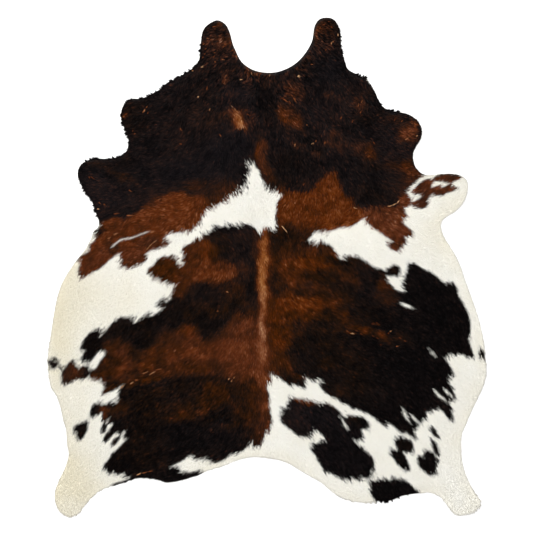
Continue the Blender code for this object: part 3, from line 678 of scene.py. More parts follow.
        (357, 420, 10, 5, -20, 0.1, 0.1, 0.8), (356, 417.2, 7, 0.9, -16, 0.5, 0, 0.8),
        (340, 456, 26, 18, -20, 0.08, 0.7, 0.8), (404, 444, 12, 10, 0, 0.12, 0, 0.9),
        (400, 460, 12, 10, -40, 0.05, 0.4, 0.9), (428, 463, 12, 12, 0, 0.04, 0.4, 1),
        (395, 490, 30, 14, 0, 0.04, 0.5, 1), (393, 271, 10, 8, 0, 0.12, 0.1, 1),
        (435, 445, 6, 20, 0, 0.08, 0.4, 1), (482, 355, 6, 8, 0, 0.1, 0, 1),
    ],
    "leftFlankSpots": [
        (74, 374, 13, 9, 10, 0.56, 0.45, 1), (89, 371, 4.5, 5, 30, 0.08, 0.5, 0.95),
        (56, 363, 9, 7, 0, 0.2, 0.5, 1), (96, 409, 7, 8, 0, 0.14, 0.4, 1),
        (106, 412, 5, 10, 0, 0.58, 0.35, 1), (110.5, 404, 4, 4, 0, 0.05, 0.5, 1),
        (81, 431, 8, 11, 0, 0.1, 0.25, 1), (108, 430, 9, 9, 0, 0.1, 0.4, 0.9),
        (115, 440, 12, 7, 0, 0.12, 0.2, 0.9), (124, 484, 16, 6, 0, 0.1, 0.4, 1),
    ],
}

# Short pale hairs and healed marks. Columns: x, y, half length, half width, turn, shade.
paleFlecks = [
    (202.5, 67, 1.6, 1.1, 10, 1.3), (198.5, 97, 1.3, 1, 60, 1.3), (299.3, 76.6, 1.7, 1, -30, 1.3),
    (241.5, 80, 1.5, 0.9, 10, 1.2), (193, 71, 1, 0.6, 0, 1.1), (207, 88, 2.6, 0.5, 80, 0.85),
    (215, 53, 1.2, 0.5, 20, 0.95), (214, 57, 1.2, 0.5, 60, 0.9), (215, 62, 1.3, 0.5, -30, 0.95),
    (223.5, 59.5, 1.4, 0.5, 0, 1), (205, 54, 1.2, 0.5, 40, 0.85), (203, 57.5, 1.2, 0.5, 60, 0.85),
    (206, 48.5, 1.2, 0.5, 30, 0.85), (208, 38.5, 1.6, 0.5, -20, 0.9), (211, 40, 1.6, 0.5, 15, 0.85),
    (226.5, 44.5, 2.6, 0.6, 2, 0.9), (204, 44, 1.6, 0.5, 30, 0.85), (215, 27, 2.6, 0.5, 5, 0.8),
    (145, 110, 2, 0.5, 60, 1.15), (147, 107, 1.4, 0.4, 50, 1), (143.5, 112, 1.2, 0.4, 40, 1),
    (148, 113, 1.4, 0.4, 70, 0.9), (135, 134, 1.2, 0.7, 0, 0.9), (133, 131, 0.9, 0.4, 60, 0.8),
    (181, 130, 2, 0.5, -50, 0.9), (181, 144, 1.4, 0.7, 0, 0.8), (209.7, 109.5, 1.4, 0.6, 70, 1.1),
    (220.5, 135.5, 1.6, 0.5, -50, 0.95), (248, 114.5, 1.6, 0.5, -30, 0.8),
    (246.5, 110, 1.4, 0.5, 30, 0.7), (250.5, 115.5, 1.6, 0.4, 40, 0.7), (253, 118, 2, 0.4, 50, 0.6),
    (286, 101, 3.4, 0.5, -35, 0.95), (283, 98, 2.6, 0.4, 30, 0.75), (290, 103, 2.2, 0.4, -60, 0.8),
    (295, 100, 3.4, 0.5, -60, 0.9), (292, 96, 2.6, 0.4, -50, 0.8), (288, 94, 3, 0.4, -20, 0.65),
    (291, 89, 3, 0.4, -35, 0.65), (295, 94, 2.6, 0.4, -40, 0.65), (286, 88, 2.6, 0.4, -10, 0.6),
    (338.3, 35, 1.6, 0.9, 80, 1.3), (331.5, 43, 1.6, 0.7, 70, 1.15), (333.5, 41.5, 1.2, 0.5, 60, 1),
    (312.3, 64.5, 1.5, 0.7, 0, 1), (326, 50, 1.4, 0.4, 60, 0.85), (324, 25, 1.6, 0.4, 10, 0.8),
    (329, 22, 1.4, 0.4, -20, 0.8), (320, 28, 1.6, 0.4, 60, 0.8), (332, 28, 1.4, 0.4, -40, 0.8),
    (307, 125, 0.9, 0.6, 80, 1), (295.3, 145, 1.5, 0.9, 70, 1.15), (312.7, 143.5, 1.4, 0.8, 60, 1.2),
    (316, 141, 1.2, 0.4, 60, 0.9), (325, 142.5, 1.8, 0.4, 80, 0.9), (304, 184, 1.8, 0.4, 60, 0.85),
    (358.5, 105, 2, 0.5, 80, 0.95), (362, 101, 2, 0.5, 70, 0.95), (361, 112, 1.8, 0.5, 60, 0.9),
    (352.5, 121.5, 1.8, 0.4, 80, 0.8), (341, 118, 1.6, 0.4, 70, 0.8), (416.8, 136, 1.3, 0.9, 60, 1.3),
    (402, 121, 1.6, 0.4, 60, 0.9), (394.5, 120, 1.8, 0.4, 70, 0.8), (407, 139, 3, 0.5, 30, 1),
    (410, 131, 3, 0.5, 35, 0.95), (374, 143, 1.6, 0.4, -50, 0.8), (369, 156, 2, 0.5, 40, 0.85),
    (366, 153, 1.8, 0.4, 50, 0.8), (372, 151, 1.8, 0.4, 40, 0.75), (98.5, 208.8, 1.4, 0.8, -10, 1.3),
    (390.5, 206, 2.6, 0.4, 12, 1.3), (395, 204, 2.6, 0.4, 30, 1.3), (398.4, 201.6, 2, 0.4, 45, 1.3),
    (138.5, 474.3, 3, 0.6, 28, 1.25), (145, 472.2, 3.4, 0.5, 12, 0.95), (151, 470.8, 2.6, 0.5, 15, 0.8),
    (90, 178, 1.4, 0.5, -60, 0.8), (131, 191, 1.8, 0.7, -30, 0.85), (100, 203, 1.5, 0.5, -40, 0.9),
    (104.5, 204.5, 1.3, 0.5, -40, 0.85), (124, 116.5, 1.4, 1, 0, 1), (159, 369.5, 3, 0.7, 10, 0.95),
    (137, 380, 2.6, 0.8, 20, 0.95), (171.5, 418, 1.8, 0.9, 0, 0.82), (203, 412, 3, 0.7, 30, 0.697),
    (209, 409, 2.4, 0.7, 45, 0.697), (215, 402, 2.4, 0.7, 50, 0.615), (198, 415, 2, 0.7, 30, 0.574),
    (213, 432, 2, 0.7, 20, 0.369), (232, 402, 2, 0.7, 50, 0.574), (178, 396, 2, 0.7, 40, 0.492),
    (186, 372, 2, 0.8, 30, 0.75), (372, 229, 1.6, 0.7, -30, 1.05), (388, 214, 2, 0.7, -40, 1),
    (396, 226, 2, 0.7, -40, 1), (381, 220, 1.8, 0.7, -30, 0.95), (404, 216, 1.8, 0.7, -40, 0.95),
    (188, 207, 1.8, 0.7, 30, 1), (170, 213, 1.8, 0.7, 25, 0.95), (116, 234, 2.4, 0.8, 25, 1.1),
    (109, 238, 2.2, 0.7, 25, 1), (402, 244, 1.6, 0.7, -40, 1), (145.5, 372.7, 3.8, 0.5, 25, 1.15),
    (152.5, 372.7, 3.8, 0.5, 27, 1.15), (132, 383, 2.2, 0.6, 25, 1.15), (122.5, 386.5, 3, 0.6, 40, 1.3),
    (229, 379, 1.5, 0.5, 45, 1.15), (231.5, 381, 1.5, 0.5, 60, 1.15), (234, 377.5, 1.3, 0.5, 50, 1.15),
    (227.5, 292, 1.2, 0.8, -60, 1.15), (218, 311, 1.2, 0.6, 30, 1), (295, 203, 1, 1, 80, 1.15),
    (355.5, 208, 2, 0.7, -15, 1.25), (148, 248, 2.4, 0.4, 50, 1.1), (151, 244.6, 2.6, 0.4, 45, 1.15),
    (155, 241.5, 2.6, 0.4, 30, 1.15), (284, 228.5, 3.2, 0.4, -50, 1.3), (286.2, 231.2, 2, 0.4, -60, 1.25),
    (352.5, 333.4, 2, 0.8, -8, 1.3), (347.5, 331.4, 2.2, 0.5, -22, 0.85), (357, 331, 1.6, 0.4, -20, 0.75),
    (361, 334, 1.6, 0.4, -30, 0.72), (366, 331, 1.8, 0.4, -25, 0.75), (373, 336, 1.8, 0.4, -35, 0.72),
    (378, 338.5, 1.6, 0.4, -30, 0.75), (384, 334, 1.6, 0.4, -50, 0.7), (391, 331, 1.2, 0.6, 25, 1.3),
    (388.5, 333, 1.2, 0.4, 50, 0.8), (373, 324, 1.6, 0.4, 0, 0.85), (377, 323, 1, 0.4, -20, 0.75),
    (400, 338, 1.8, 0.4, -30, 0.8), (405, 341, 1.6, 0.4, -25, 0.8), (397.5, 346, 1.6, 0.5, 10, 1),
    (381, 345, 1.2, 0.4, -40, 0.75), (117, 213.5, 3, 0.6, 8, 0.9), (131, 215.5, 4, 0.7, 10, 0.95),
    (142, 210.5, 2.6, 0.6, 40, 0.9), (160, 199, 2.6, 0.6, 25, 0.9), (93, 178, 2.6, 0.5, -40, 0.7),
]

# Where the edges of the dark fields are more or less feathered than usual. Columns: x, y,
# half width, half height, turn, feathering (1 usual), strength.
featheredEdges = [
    (120, 320, 60, 14, 25, 1.4, 1), (110, 440, 26, 34, 0, 0.6, 1), (240, 190, 14, 26, 30, 1.5, 1),
    (246, 172, 8, 14, 0, 1.9, 1), (285, 210, 10, 20, 0, 0.6, 1), (393, 271, 14, 9, 0, 0.4, 1),
    (130, 238.5, 26, 7, 20, 0.02, 1), (407, 305, 9, 4, 0, 0.5, 1), (418, 455, 30, 26, 0, 0.8, 1),
    (436, 190, 34, 20, 0, 0.5, 1), (402, 238, 14, 14, 0, 0.6, 1), (395, 203, 14, 6, 30, 0.2, 1),
    (95, 360, 20, 26, 0, 0.7, 1), (435, 440, 14, 30, 0, 0.8, 1),
]

# Where the cream is yellower. Columns: x, y, half width, half height, turn, yellowness
# (0 white, 1 straw), strength.
creamTints = [
    (62, 330, 12, 60, 0, 1, 0.9), (110, 300, 30, 22, 0, 0.55, 0.8), (70, 300, 24, 40, 0, 0.85, 0.8),
    (452, 200, 14, 14, 0, 0.3, 0.9), (436, 230, 16, 20, 0, 0.4, 0.8), (240, 200, 36, 24, 0, 0.05, 0.9),
    (70, 480, 26, 34, 0, 0.95, 1), (460, 470, 26, 40, 0, 0.05, 1), (75, 400, 22, 40, 0, 0.5, 0.8),
]

# Where the hair curls more than its few usual degrees. Columns: x, y, half width, half
# height, turn, degrees, strength.
curls = [
    (262, 110, 150, 50, 0, 22, 1), (110, 180, 40, 24, 0, 8, 0.8), (320, 208, 60, 22, 0, 24, 1),
    (150, 215, 70, 26, 10, 14, 1),
]

# How strong the grain of single strands is. Columns as above, with strength 1 the usual.
grainSpots = [
    (262, 90, 120, 60, 0, 1.4, 1), (130, 140, 50, 40, 0, 1.3, 0.9), (390, 130, 50, 40, 0, 1.5, 0.9),
    (215, 44, 16, 24, 0, 2.5, 1), (327, 38, 14, 20, 0, 2.8, 1), (246, 76, 16, 9, -35, 2.6, 1),
    (289, 88, 13, 17, 20, 2.3, 1), (304, 62, 9, 12, -40, 2.4, 1), (331, 72, 14, 14, 0, 0.7, 0.9),
    (190, 168, 50, 16, 0, 0.8, 0.9), (226, 150, 26, 22, 0, 0.7, 0.9), (240, 95, 14, 8, 0, 0.8, 0.9),
    (325, 310, 58, 80, 0, 1.15, 1), (185, 410, 75, 50, 0, 1.4, 1), (263, 300, 6, 90, 0, 0.6, 1),
    (232, 350, 40, 24, 0, 0.75, 1),
]

# How strongly the shade is mottled. Columns as above, with strength 1 the usual.
mottleSpots = [
    (330, 310, 90, 60, 0, 1.6, 1), (180, 420, 80, 50, 0, 1.6, 1), (210, 305, 60, 24, 0, 1.3, 1),
    (125, 365, 40, 30, 0, 1.4, 1), (170, 215, 70, 26, 10, 0.6, 1), (315, 205, 50, 32, 0, 0.7, 1),
    (235, 345, 36, 30, 0, 0.7, 1), (263, 300, 6, 90, 0, 0.3, 1),
]

# Where the cut edge is ragged with dark hair. Columns as above, with raggedness up to 1.
raggedEdges = [
    (146, 100, 18, 9, 20, 1, 1), (168, 88, 16, 9, 25, 1, 1), (188, 74, 14, 8, 25, 1, 1),
    (200, 46, 5, 16, 0, 0.7, 1), (341, 44, 5, 14, 0, 0.6, 1), (362, 76, 8, 6, -10, 1, 1),
    (397, 111, 20, 8, -12, 0.8, 1), (126, 128, 6, 14, 15, 0.8, 1), (96, 208, 7, 10, 15, 1, 1),
    (100, 158, 26, 6, 0, 1, 1), (62, 512, 26, 12, 0, 0.35, 1), (478, 508, 24, 16, 20, 0.6, 1),
    (440, 492, 24, 8, -20, 0.3, 1), (390, 502, 36, 8, 0, 1, 1), (150, 482, 60, 8, 10, 0.3, 1),
    (490, 350, 8, 30, 0, 0.5, 1), (48, 360, 6, 30, 0, 0.4, 1), (56, 430, 6, 50, 0, 0.25, 1),
    (84, 190, 6, 12, 20, 0.7, 1), (128, 146, 5, 8, 0, 0.5, 1),
]

# Which way the hair lies. Columns: x, y, and the line's turn in degrees anticlockwise
# from the photograph's right.
hairFlow = [
    (245, 175, 300), (232, 195, 297), (218, 203, 320), (252, 163, 305), (265, 183, 272), (275, 194, 270),
    (282, 197, 248), (250, 227, 322), (262, 233, 270), (222, 229, 330), (206, 234, 338), (112, 240, 205),
    (135, 235, 203), (150, 246, 222), (180, 262, 225), (195, 243, 222), (105, 263, 222), (150, 278, 230),
    (172, 290, 225), (105, 330, 235), (130, 318, 222), (157, 312, 220), (98, 360, 225), (110, 395, 216),
    (96, 408, 238), (106, 430, 240), (118, 438, 232), (82, 430, 240), (110, 460, 245), (150, 470, 205),
    (178, 458, 205), (215, 458, 212), (238, 450, 220), (255, 444, 265), (272, 380, 272), (285, 388, 325),
    (285, 406, 318), (290, 430, 325), (315, 450, 315), (345, 470, 310), (335, 250, 335), (315, 235, 225),
    (340, 229, 205), (363, 219, 218), (390, 240, 325), (375, 228, 325), (400, 280, 322), (407, 305, 342),
    (425, 195, 38), (445, 180, 32), (455, 200, 20), (415, 420, 318), (448, 392, 318), (448, 365, 305),
    (460, 290, 300), (470, 330, 280), (400, 445, 300), (400, 462, 297), (428, 462, 293), (245, 82, 225),
    (262, 80, 270), (285, 98, 335), (262, 110, 270), (264, 140, 270), (320, 115, 285), (215, 30, 200),
    (212, 50, 215), (325, 30, 340), (330, 52, 318), (100, 170, 182), (90, 190, 190), (130, 180, 188),
    (150, 165, 200), (140, 205, 196), (175, 200, 190), (190, 186, 188), (212, 180, 200), (160, 192, 188),
    (190, 130, 225), (150, 115, 205), (220, 140, 235), (350, 95, 305), (380, 125, 330), (410, 130, 335),
    (400, 165, 345), (350, 170, 300), (300, 160, 285), (300, 200, 250), (330, 200, 260), (370, 200, 300),
    (353, 333, 338), (390, 332, 340), (320, 300, 325), (300, 270, 320), (290, 345, 300), (330, 370, 320),
    (375, 370, 330), (430, 300, 320), (440, 340, 318), (262, 300, 270), (262, 400, 270), (240, 300, 245),
    (210, 300, 232), (200, 340, 228), (230, 370, 235), (160, 350, 225), (150, 373, 207), (160, 410, 220),
    (205, 410, 222), (180, 440, 212), (245, 420, 245), (350, 406, 322), (375, 418, 322), (360, 440, 300),
    (75, 330, 238), (60, 380, 250), (75, 400, 243), (70, 460, 245), (70, 500, 245), (100, 480, 232),
    (130, 480, 205), (460, 240, 315), (435, 225, 330), (440, 255, 320), (475, 380, 285), (465, 440, 285),
    (455, 490, 305), (420, 500, 300), (390, 490, 305), (300, 465, 290), (260, 455, 270), (90, 290, 232),
    (70, 290, 240), (130, 290, 228),
]


def smoothLoop(points, steps=4):
    # The closed curve that runs through every point.
    here = np.array(points, float)
    before, after, later = np.roll(here, 1, 0), np.roll(here, -1, 0), np.roll(here, -2, 0)
    share = (np.arange(steps) / steps)[:, None, None]
    curve = 0.5 * (
        2 * here + (after - before) * share
        + (2 * before - 5 * here + 4 * after - later) * share**2
        + (3 * here - before - 3 * after + later) * share**3
    )
    return curve.transpose(1, 0, 2).reshape(-1, 2)


def fillLoop(loop):
    # Which cells of the chart lie inside a closed loop given in pixels.
    x, y = loop.T * cellsPerPixel
    nextX, nextY = np.roll(x, -1), np.roll(y, -1)
    rows = np.arange(chartSize) + 0.5
    row, edge = np.nonzero((y[None, :] > rows[:, None]) != (nextY[None, :] > rows[:, None]))
    crossing = x[edge] + (rows[row] - y[edge]) / (nextY[edge] - y[edge]) * (nextX[edge] - x[edge])
    flips = np.zeros((chartSize, chartSize + 1), np.int32)
    np.add.at(flips, (row, np.clip(np.ceil(crossing - 0.5), 0, chartSize).astype(int)), 1)
    return np.cumsum(flips, 1)[:, :chartSize] % 2 == 1


def soften(field, pixels):
    # A Gaussian blur of the chart, its radius in the photograph's pixels.
    radius = pixels * cellsPerPixel
    frequency = np.fft.fftfreq(chartSize)[:, None] ** 2 + np.fft.rfftfreq(chartSize)[None, :] ** 2
    spectrum = np.fft.rfft2(field) * np.exp(-2 * (np.pi * radius) ** 2 * frequency)
    return np.fft.irfft2(spectrum, s=field.shape)


def cloud(chance, pixels):
    # Smooth noise of unit strength, with lumps about this many pixels wide.
    field = soften(chance.standard_normal((chartSize, chartSize)), pixels / 2)
    return field / field.std()


def enlarge(coarse, step):
    # Fills the chart from a coarse grid with one value every few cells.
    places = np.arange(chartSize)
    knots = np.arange(coarse.shape[0]) * step
    across = np.stack([np.interp(places, knots, row) for row in coarse])
    return np.stack([np.interp(places, knots, column) for column in across.T], 1)


def knotPlaces(step):
    return np.arange(0, chartSize + step, step) / cellsPerPixel


def combHair(step=16, nearest=10, falloff=1.6):
    # The direction of the hair in every cell, as a complex number: x to the right, y down.
    knots = knotPlaces(step)
    gridX, gridY = np.meshgrid(knots, knots)
    x, y, turn = np.array(hairFlow, float).T
    reach = (gridX[..., None] - x) ** 2 + (gridY[..., None] - y) ** 2
    weight = 1 / (reach + nearest**2) ** falloff
    mixed = (weight * np.exp(-1j * np.radians(turn))).sum(-1) / weight.sum(-1)
    mixed = enlarge(mixed.real, step) + 1j * enlarge(mixed.imag, step)
    return mixed / np.abs(mixed)


def drawOut(noise, toward, cells):
    # Noise drawn out along the hair, which turns its grains into locks.
    rows, columns = np.mgrid[0:chartSize, 0:chartSize]
    total = noise.copy()
    for way in (1, -1):
        place = columns + 1j * rows
        for _ in range(cells):
            place += way * toward[nearestCell(place)]
            total += noise[nearestCell(place)]
    return total / total.std()


def nearestCell(place):
    return tuple(np.clip(part.astype(int), 0, chartSize - 1) for part in (place.imag, place.real))


def spotWeight(x, y, halfWidth, halfHeight, turn, strength):
    # A soft oval: the part of the chart that it touches, and its weight there.
    reach = 2.6 * max(halfWidth, halfHeight)
    first = [max(0, int((value - reach) * cellsPerPixel)) for value in (y, x)]
    last = [min(chartSize, int((value + reach) * cellsPerPixel) + 2) for value in (y, x)]
    rows, columns = np.mgrid[first[0]:last[0], first[1]:last[1]]
    offX, offY = (columns + 0.5) / cellsPerPixel - x, (rows + 0.5) / cellsPerPixel - y
    angle = math.radians(turn)
    along = (offX * math.cos(angle) - offY * math.sin(angle)) / halfWidth
    across = (offX * math.sin(angle) + offY * math.cos(angle)) / halfHeight
    weight = strength * 0.5 ** ((along**2 + across**2) ** 1.25)
    return (slice(first[0], last[0]), slice(first[1], last[1])), weight


def blend(chart, window, value, share):
    chart[window] += (value - chart[window]) * share


def plainChart(value):
    return np.full((chartSize, chartSize), float(value))


def paintSoft(ground, spots):
    # A chart of one value, with soft ovals of other values in it.
    chart = plainChart(ground)
    for *oval, value, strength in spots:
        window, share = spotWeight(*oval, strength)
        blend(chart, window, value, share)
    return chart


painting = {
    "reach": 1.1,  # pixels by which a dark field's edge is softened before it is widened
    "widened": 0.25,  # the softened edge's value where the dark hair then ends
    "ground": (0.12, 0.5),  # shade and cast where no field or spot says otherwise
    "core": 0.97,  # a field's softened value well inside it
    "borderBreadth": 0.3,
    "borderSoftness": (1.2, 2.5),  # pixels
    "edgeSoftness": 0.5,  # pixels
}


def paintDark():
    # A chart with 1 in the dark fields and 0 in the cream ones.
    outlines = [sum(stretches.values(), []) for stretches in darkFields.values()]
    dark = np.zeros((chartSize, chartSize), bool)
    for points in [*outlines, *darkPatches.values()]:
        dark |= fillLoop(smoothLoop(points))
    # pale hair outshines dark hair where they mix, so the dark fields reach a little further
    dark = (soften(dark.astype(float), painting["reach"]) > painting["widened"]).astype(float)
    for points in whiteStreaks.values():
        dark[fillLoop(smoothLoop(points))] = 0
    return dark


def paintCoat():
    # Charts of how dark the coat is, its shade and its cast.
    dark = paintDark()
    shade, cast = (plainChart(value) for value in painting["ground"])
    whole = slice(None)
    for points, edge, value, tint in shadeFields.values():
        share = np.clip(soften(fillLoop(smoothLoop(points)).astype(float), edge), 0, 1)
        blend(shade, whole, value, share)
        blend(cast, whole, tint, share)
    for *oval, value, tint, strength in sum(shadeSpots.values(), []):
        window, share = spotWeight(*oval, strength)
        blend(shade, window, value, share)
        blend(cast, window, tint, share)
    # a field's shade runs on over its border, so that the hair mixed there isn't darker
    near, far = painting["borderSoftness"]
    depth = soften(dark, near)
    core = (depth > painting["core"]).astype(float)
    weight = soften(core, far)
    border = np.clip((painting["core"] - depth) / painting["borderBreadth"], 0, 1) * (weight > 0.01)
    spread = np.maximum(soften(shade * core, far) / np.maximum(weight, 0.01), shade)
    blend(shade, whole, spread, border)
    return soften(dark, painting["edgeSoftness"]), shade, cast


# The leather and its coat. Lengths in millimetres, shades as in the tables above.
leather = {
    "coatOnLeather": 3.0,  # how far the coat stands over the leather
    "edgeTaper": 14.0,  # the coat thins out this far in from the cut edge
    "undercoatShade": 0.8,  # of the hair's own, since less light reaches it
    "thickness": 2.2,
    "topSpacing": 11.0,  # between corners, on the side that carries the coat's colours
    "undersideSpacing": 30.0,
}
coat = {
    "seed": 41,
    "spacing": 3.9,
    "rootMargin": 0.6,
    "length": 16.0,
    "lengthSpread": (0.8, 1.3),
    "width": 3.4,
    "widthSpread": (0.8, 1.2),
    "ridge": (0.3, 0.6),  # how high the tuft's back stands near its root
    "tip": (2.7, 3.4),  # how high its tip lies over the leather
    "rootDepth": 0.35,
    "strayTurn": 5.0,  # degrees, each tuft by itself
    "shown": 0.5,  # the part of a tuft that shows, as a share of its length
    "strips": 5,
    "shortest": 4.0,
    "pastEdge": 2.0,
    "pastRaggedEdge": 11.0,
    "splayDepth": 16.0,
    "spikeBreadth": 2.0,  # how much broader a ragged edge's tufts are
}
paleHairs = {"perFleck": 4, "width": 2.4, "lift": 3.1, "cast": 0.45}


def readChart(chart, x, y):
    # The chart's value at places given in pixels, mixed from the four nearest cells.
    across = np.clip(x * cellsPerPixel - 0.5, 0, chartSize - 1.001)
    down = np.clip(y * cellsPerPixel - 0.5, 0, chartSize - 1.001)
    column, row = across.astype(int), down.astype(int)
    right, below = across - column, down - row
    return (
        chart[row, column] * (1 - right) * (1 - below) + chart[row, column + 1] * right * (1 - below)
        + chart[row + 1, column] * (1 - right) * below + chart[row + 1, column + 1] * right * below
    )


def toPixels(x, y):
    return photo["middle"][0] + x / photo["pixel"], photo["middle"][1] - y / photo["pixel"]


def toMetres(x, y):
    return (x - photo["middle"][0]) * photo["pixel"], (photo["middle"][1] - y) * photo["pixel"]


def mergedHide():
    mesh = bmesh.new()
    mesh.from_mesh(hide.data)
    mesh.transform(hide.matrix_world)
    bmesh.ops.remove_doubles(mesh, verts=mesh.verts, dist=weldGap)
    mesh.normal_update()
    return mesh


def findRim(mesh):
    # The corners round the top of the cut edge, in order.
    rimEdges = [
        edge for edge in mesh.edges
        if len(edge.link_faces) == 2
        and max(face.normal.z for face in edge.link_faces) > flatEnough
        and abs(min(face.normal.z for face in edge.link_faces)) < flatEnough
    ]
    neighbours = {}
    for edge in rimEdges:
        for corner in edge.verts:
            neighbours.setdefault(corner, []).append(edge.other_vert(corner))
    start = rimEdges[0].verts[0]
    loop, last, here = [start], None, start
    while True:
        onward = [corner for corner in neighbours[here] if corner is not last]
        last, here = here, onward[0]
        if here is start:
            break
        loop.append(here)
    return loop


def measureKnots(knots, measure):
    # What is measured at places in metres over every knot.
    return np.array([[measure(*toMetres(x, y)) for x in knots] for y in knots])


def chartRim(rim, step=4):
    # How far inside the cut edge each cell of the chart lies, in millimetres.
    inside = fillLoop(np.stack(toPixels(*rim.T), 1))
    following = np.roll(rim, -1, 0)
    share = np.linspace(0, 1, 10, endpoint=False)[:, None, None]
    dense = (rim * (1 - share) + following * share).reshape(-1, 2)
    tree = KDTree(len(dense))
    for number, (x, y) in enumerate(dense):
        tree.insert((x, y, 0), number)
    tree.balance()
    knots = knotPlaces(step)
    coarse = measureKnots(knots, lambda x, y: tree.find((x, y, 0))[2] / millimetre)
    cells = np.clip((knots * cellsPerPixel).astype(int), 0, chartSize - 1)
    return enlarge(coarse * np.where(inside[np.ix_(cells, cells)], 1, -1), step)


def chartHeight(mesh, step=4, above=20 * millimetre):
    # The height of the coat's top over every cell, in metres.
    tree = BVHTree.FromBMesh(mesh)
    nearest = tree.find_nearest
    return enlarge(measureKnots(knotPlaces(step), lambda x, y: nearest((x, y, above))[0].z), step)


def coatDepth(distance):
    # How far the leather lies under the coat's top, in metres, this far in from the edge.
    share = np.clip(distance / leather["edgeTaper"], 0, 1)
    return leather["coatOnLeather"] * millimetre * np.sqrt(1 - (1 - share) ** 2)


hideMesh = mergedHide()
hideRim = findRim(hideMesh)
rimDistance = chartRim(np.array([corner.co.xy for corner in hideRim]))
print("rim charted")
topHeight = chartHeight(hideMesh)
print("height charted")
chance = np.random.default_rng(coat["seed"])
flow = combHair() * np.exp(1j * np.radians(paintSoft(3, curls)) * cloud(chance, 7))
hairLocks = drawOut(cloud(chance, 1.1), flow, 9)
strands = drawOut(cloud(chance, 0.8), flow, 1)
strands = (strands + 0.25 * strands**2 - 0.25) / 1.06
tufts = drawOut(cloud(chance, 1.8), flow, 3)
strings = drawOut(cloud(chance, 0.9), flow, 4)
patchy = 0.85 * cloud(chance, 4.5) + 0.5 * tufts
spikes = cloud(chance, 1.2)
wander = 1.1 * (cloud(chance, 7) + 1j * cloud(chance, 7))
drift = cloud(chance, 12)
darkChart, shadeChart, castChart = paintCoat()
featherChart = paintSoft(0.85, featheredEdges)
grainChart = paintSoft(1.0, grainSpots)
mottleChart = paintSoft(1.0, mottleSpots)
raggedChart = paintSoft(0.0, raggedEdges)
creamChart = paintSoft(0.12, creamTints) + 0.2 * np.clip(1 - rimDistance / 60, 0, 1)
print("coat charted")


variety = {
    "strayDrift": 2.2,  # pixels by which single strands cross a patch's edge along the hair
    "sideDrift": 0.5,  # and across it
    "strandShare": 0.06,  # of the shade, from strand to strand
    "patchShare": 0.06,  # of the shade, from lock to lock
    "strandStep": 0.03,  # shade added or taken from strand to strand
    "patchStep": 0.025,  # from lock to lock
    "slowStep": 0.015,  # and slowly over the hide
    "strandCast": 0.06,
    "stringShade": 0.035,  # from the drawn-out strings where the grain is strong
    "stringCast": 0.06,
    "rimPaintedShade": 0.45,  # painted shade: how much darker the hair is made at the cut edge, as a share
    "raggedPaintedShade": 0.4,  # and on ragged stretches besides
    "rimBreadth": 5.0,  # millimetres
    "turnedPaintedShadow": 0.28,  # painted shadow: how dark light hair is made where it turns over the cut edge
    "turnedBreadth": 2.2,  # millimetres
    "creamStep": (0.03, 0.04),  # yellowness from strand to strand, and slowly over the hide
    "palest": 1.3,  # the shade at the top of the ramps
}


def readCoat(x, y, stray):
    # Pigment at places in pixels: shade, how dark, cast and how yellow its cream is.
    toward = readChart(flow, x, y)
    feather = readChart(featherChart, x, y)
    along = feather * (readChart(hairLocks, x, y) + variety["strayDrift"] * stray[0])
    across = variety["sideDrift"] * np.minimum(feather, 1) * stray[1]
    shifted = x + 1j * y + toward * (along + 1j * across)
    dark = readChart(darkChart, shifted.real, shifted.imag)
    shifted = shifted + readChart(wander, x, y)
    shade = readChart(shadeChart, shifted.real, shifted.imag)
    cast = readChart(castChart, shifted.real, shifted.imag)
    grain, mottle = readChart(grainChart, x, y), readChart(mottleChart, x, y)
    patch, slow = readChart(patchy, x, y), readChart(drift, x, y)
    single = grain * (readChart(strands, x, y) + stray[2])
    shade = shade * (1 + variety["strandShare"] * single + variety["patchShare"] * mottle * patch)
    faint = np.clip(2.3 - 2.6 * shade, 0.6, 2.2)  # the darker, the more its strands stand out
    shade = shade + faint * variety["strandStep"] * single
    shade = shade + mottle * (variety["patchStep"] * patch + variety["slowStep"] * slow)
    string = np.maximum(grain - 1, 0) * np.clip(readChart(strings, x, y), -2, 2)
    shade = shade + variety["stringShade"] * string
    cast = cast + variety["strandCast"] * single + variety["stringCast"] * string
    # painted shade: the hair is made darker along the cut edge, more so on ragged stretches
    fromRim = np.maximum(readChart(rimDistance, x, y), 0)
    rimPaintedShade = variety["rimPaintedShade"] + variety["raggedPaintedShade"] * readChart(raggedChart, x, y)
    shade = shade * (1 - rimPaintedShade * np.exp(-fromRim / variety["rimBreadth"]))
    # painted shadow: light hair is made darker where it turns over the edge
    dark = np.maximum(dark, variety["turnedPaintedShadow"] * np.exp(-fromRim / variety["turnedBreadth"]))
    strayCream, slowCream = variety["creamStep"]
    cream = readChart(creamChart, x, y) + strayCream * stray[2] + slowCream * slow
    return np.clip(np.stack([shade / variety["palest"], dark, cast, cream], 1), 0, 1)


def addCoatColour(mesh, colours):
    layer = mesh.attributes.new("coat", "FLOAT_COLOR", "POINT")
    layer.data.foreach_set("color", colours.astype(np.float32).ravel())


def honeycomb(spacing):
    # Even places over the photograph's frame, in millimetres.
    size = photo["size"] * photo["pixel"] / millimetre
    columns, rows = np.arange(0, size, spacing), np.arange(0, size, spacing * math.sqrt(3) / 2)
    x, y = np.meshgrid(columns, rows)
    return x + np.where(np.arange(len(rows)) % 2, spacing / 2, 0)[:, None], y


def keepInside(x, y, margin):
    # Those of the places that lie over this many millimetres inside the rim, turned to pixels.
    pixelX, pixelY = (value.ravel() * millimetre / photo["pixel"] for value in (x, y))
    keep = readChart(rimDistance, pixelX, pixelY) > margin
    return pixelX[keep], pixelY[keep]


def plantTufts():
    # Roots on a shaken honeycomb inside the rim.
    x, y = honeycomb(coat["spacing"])
    x = x + chance.uniform(-0.5, 0.5, x.shape) * coat["spacing"]
    y = y + chance.uniform(-0.5, 0.5, y.shape) * coat["spacing"]
    return keepInside(x, y, coat["rootMargin"])


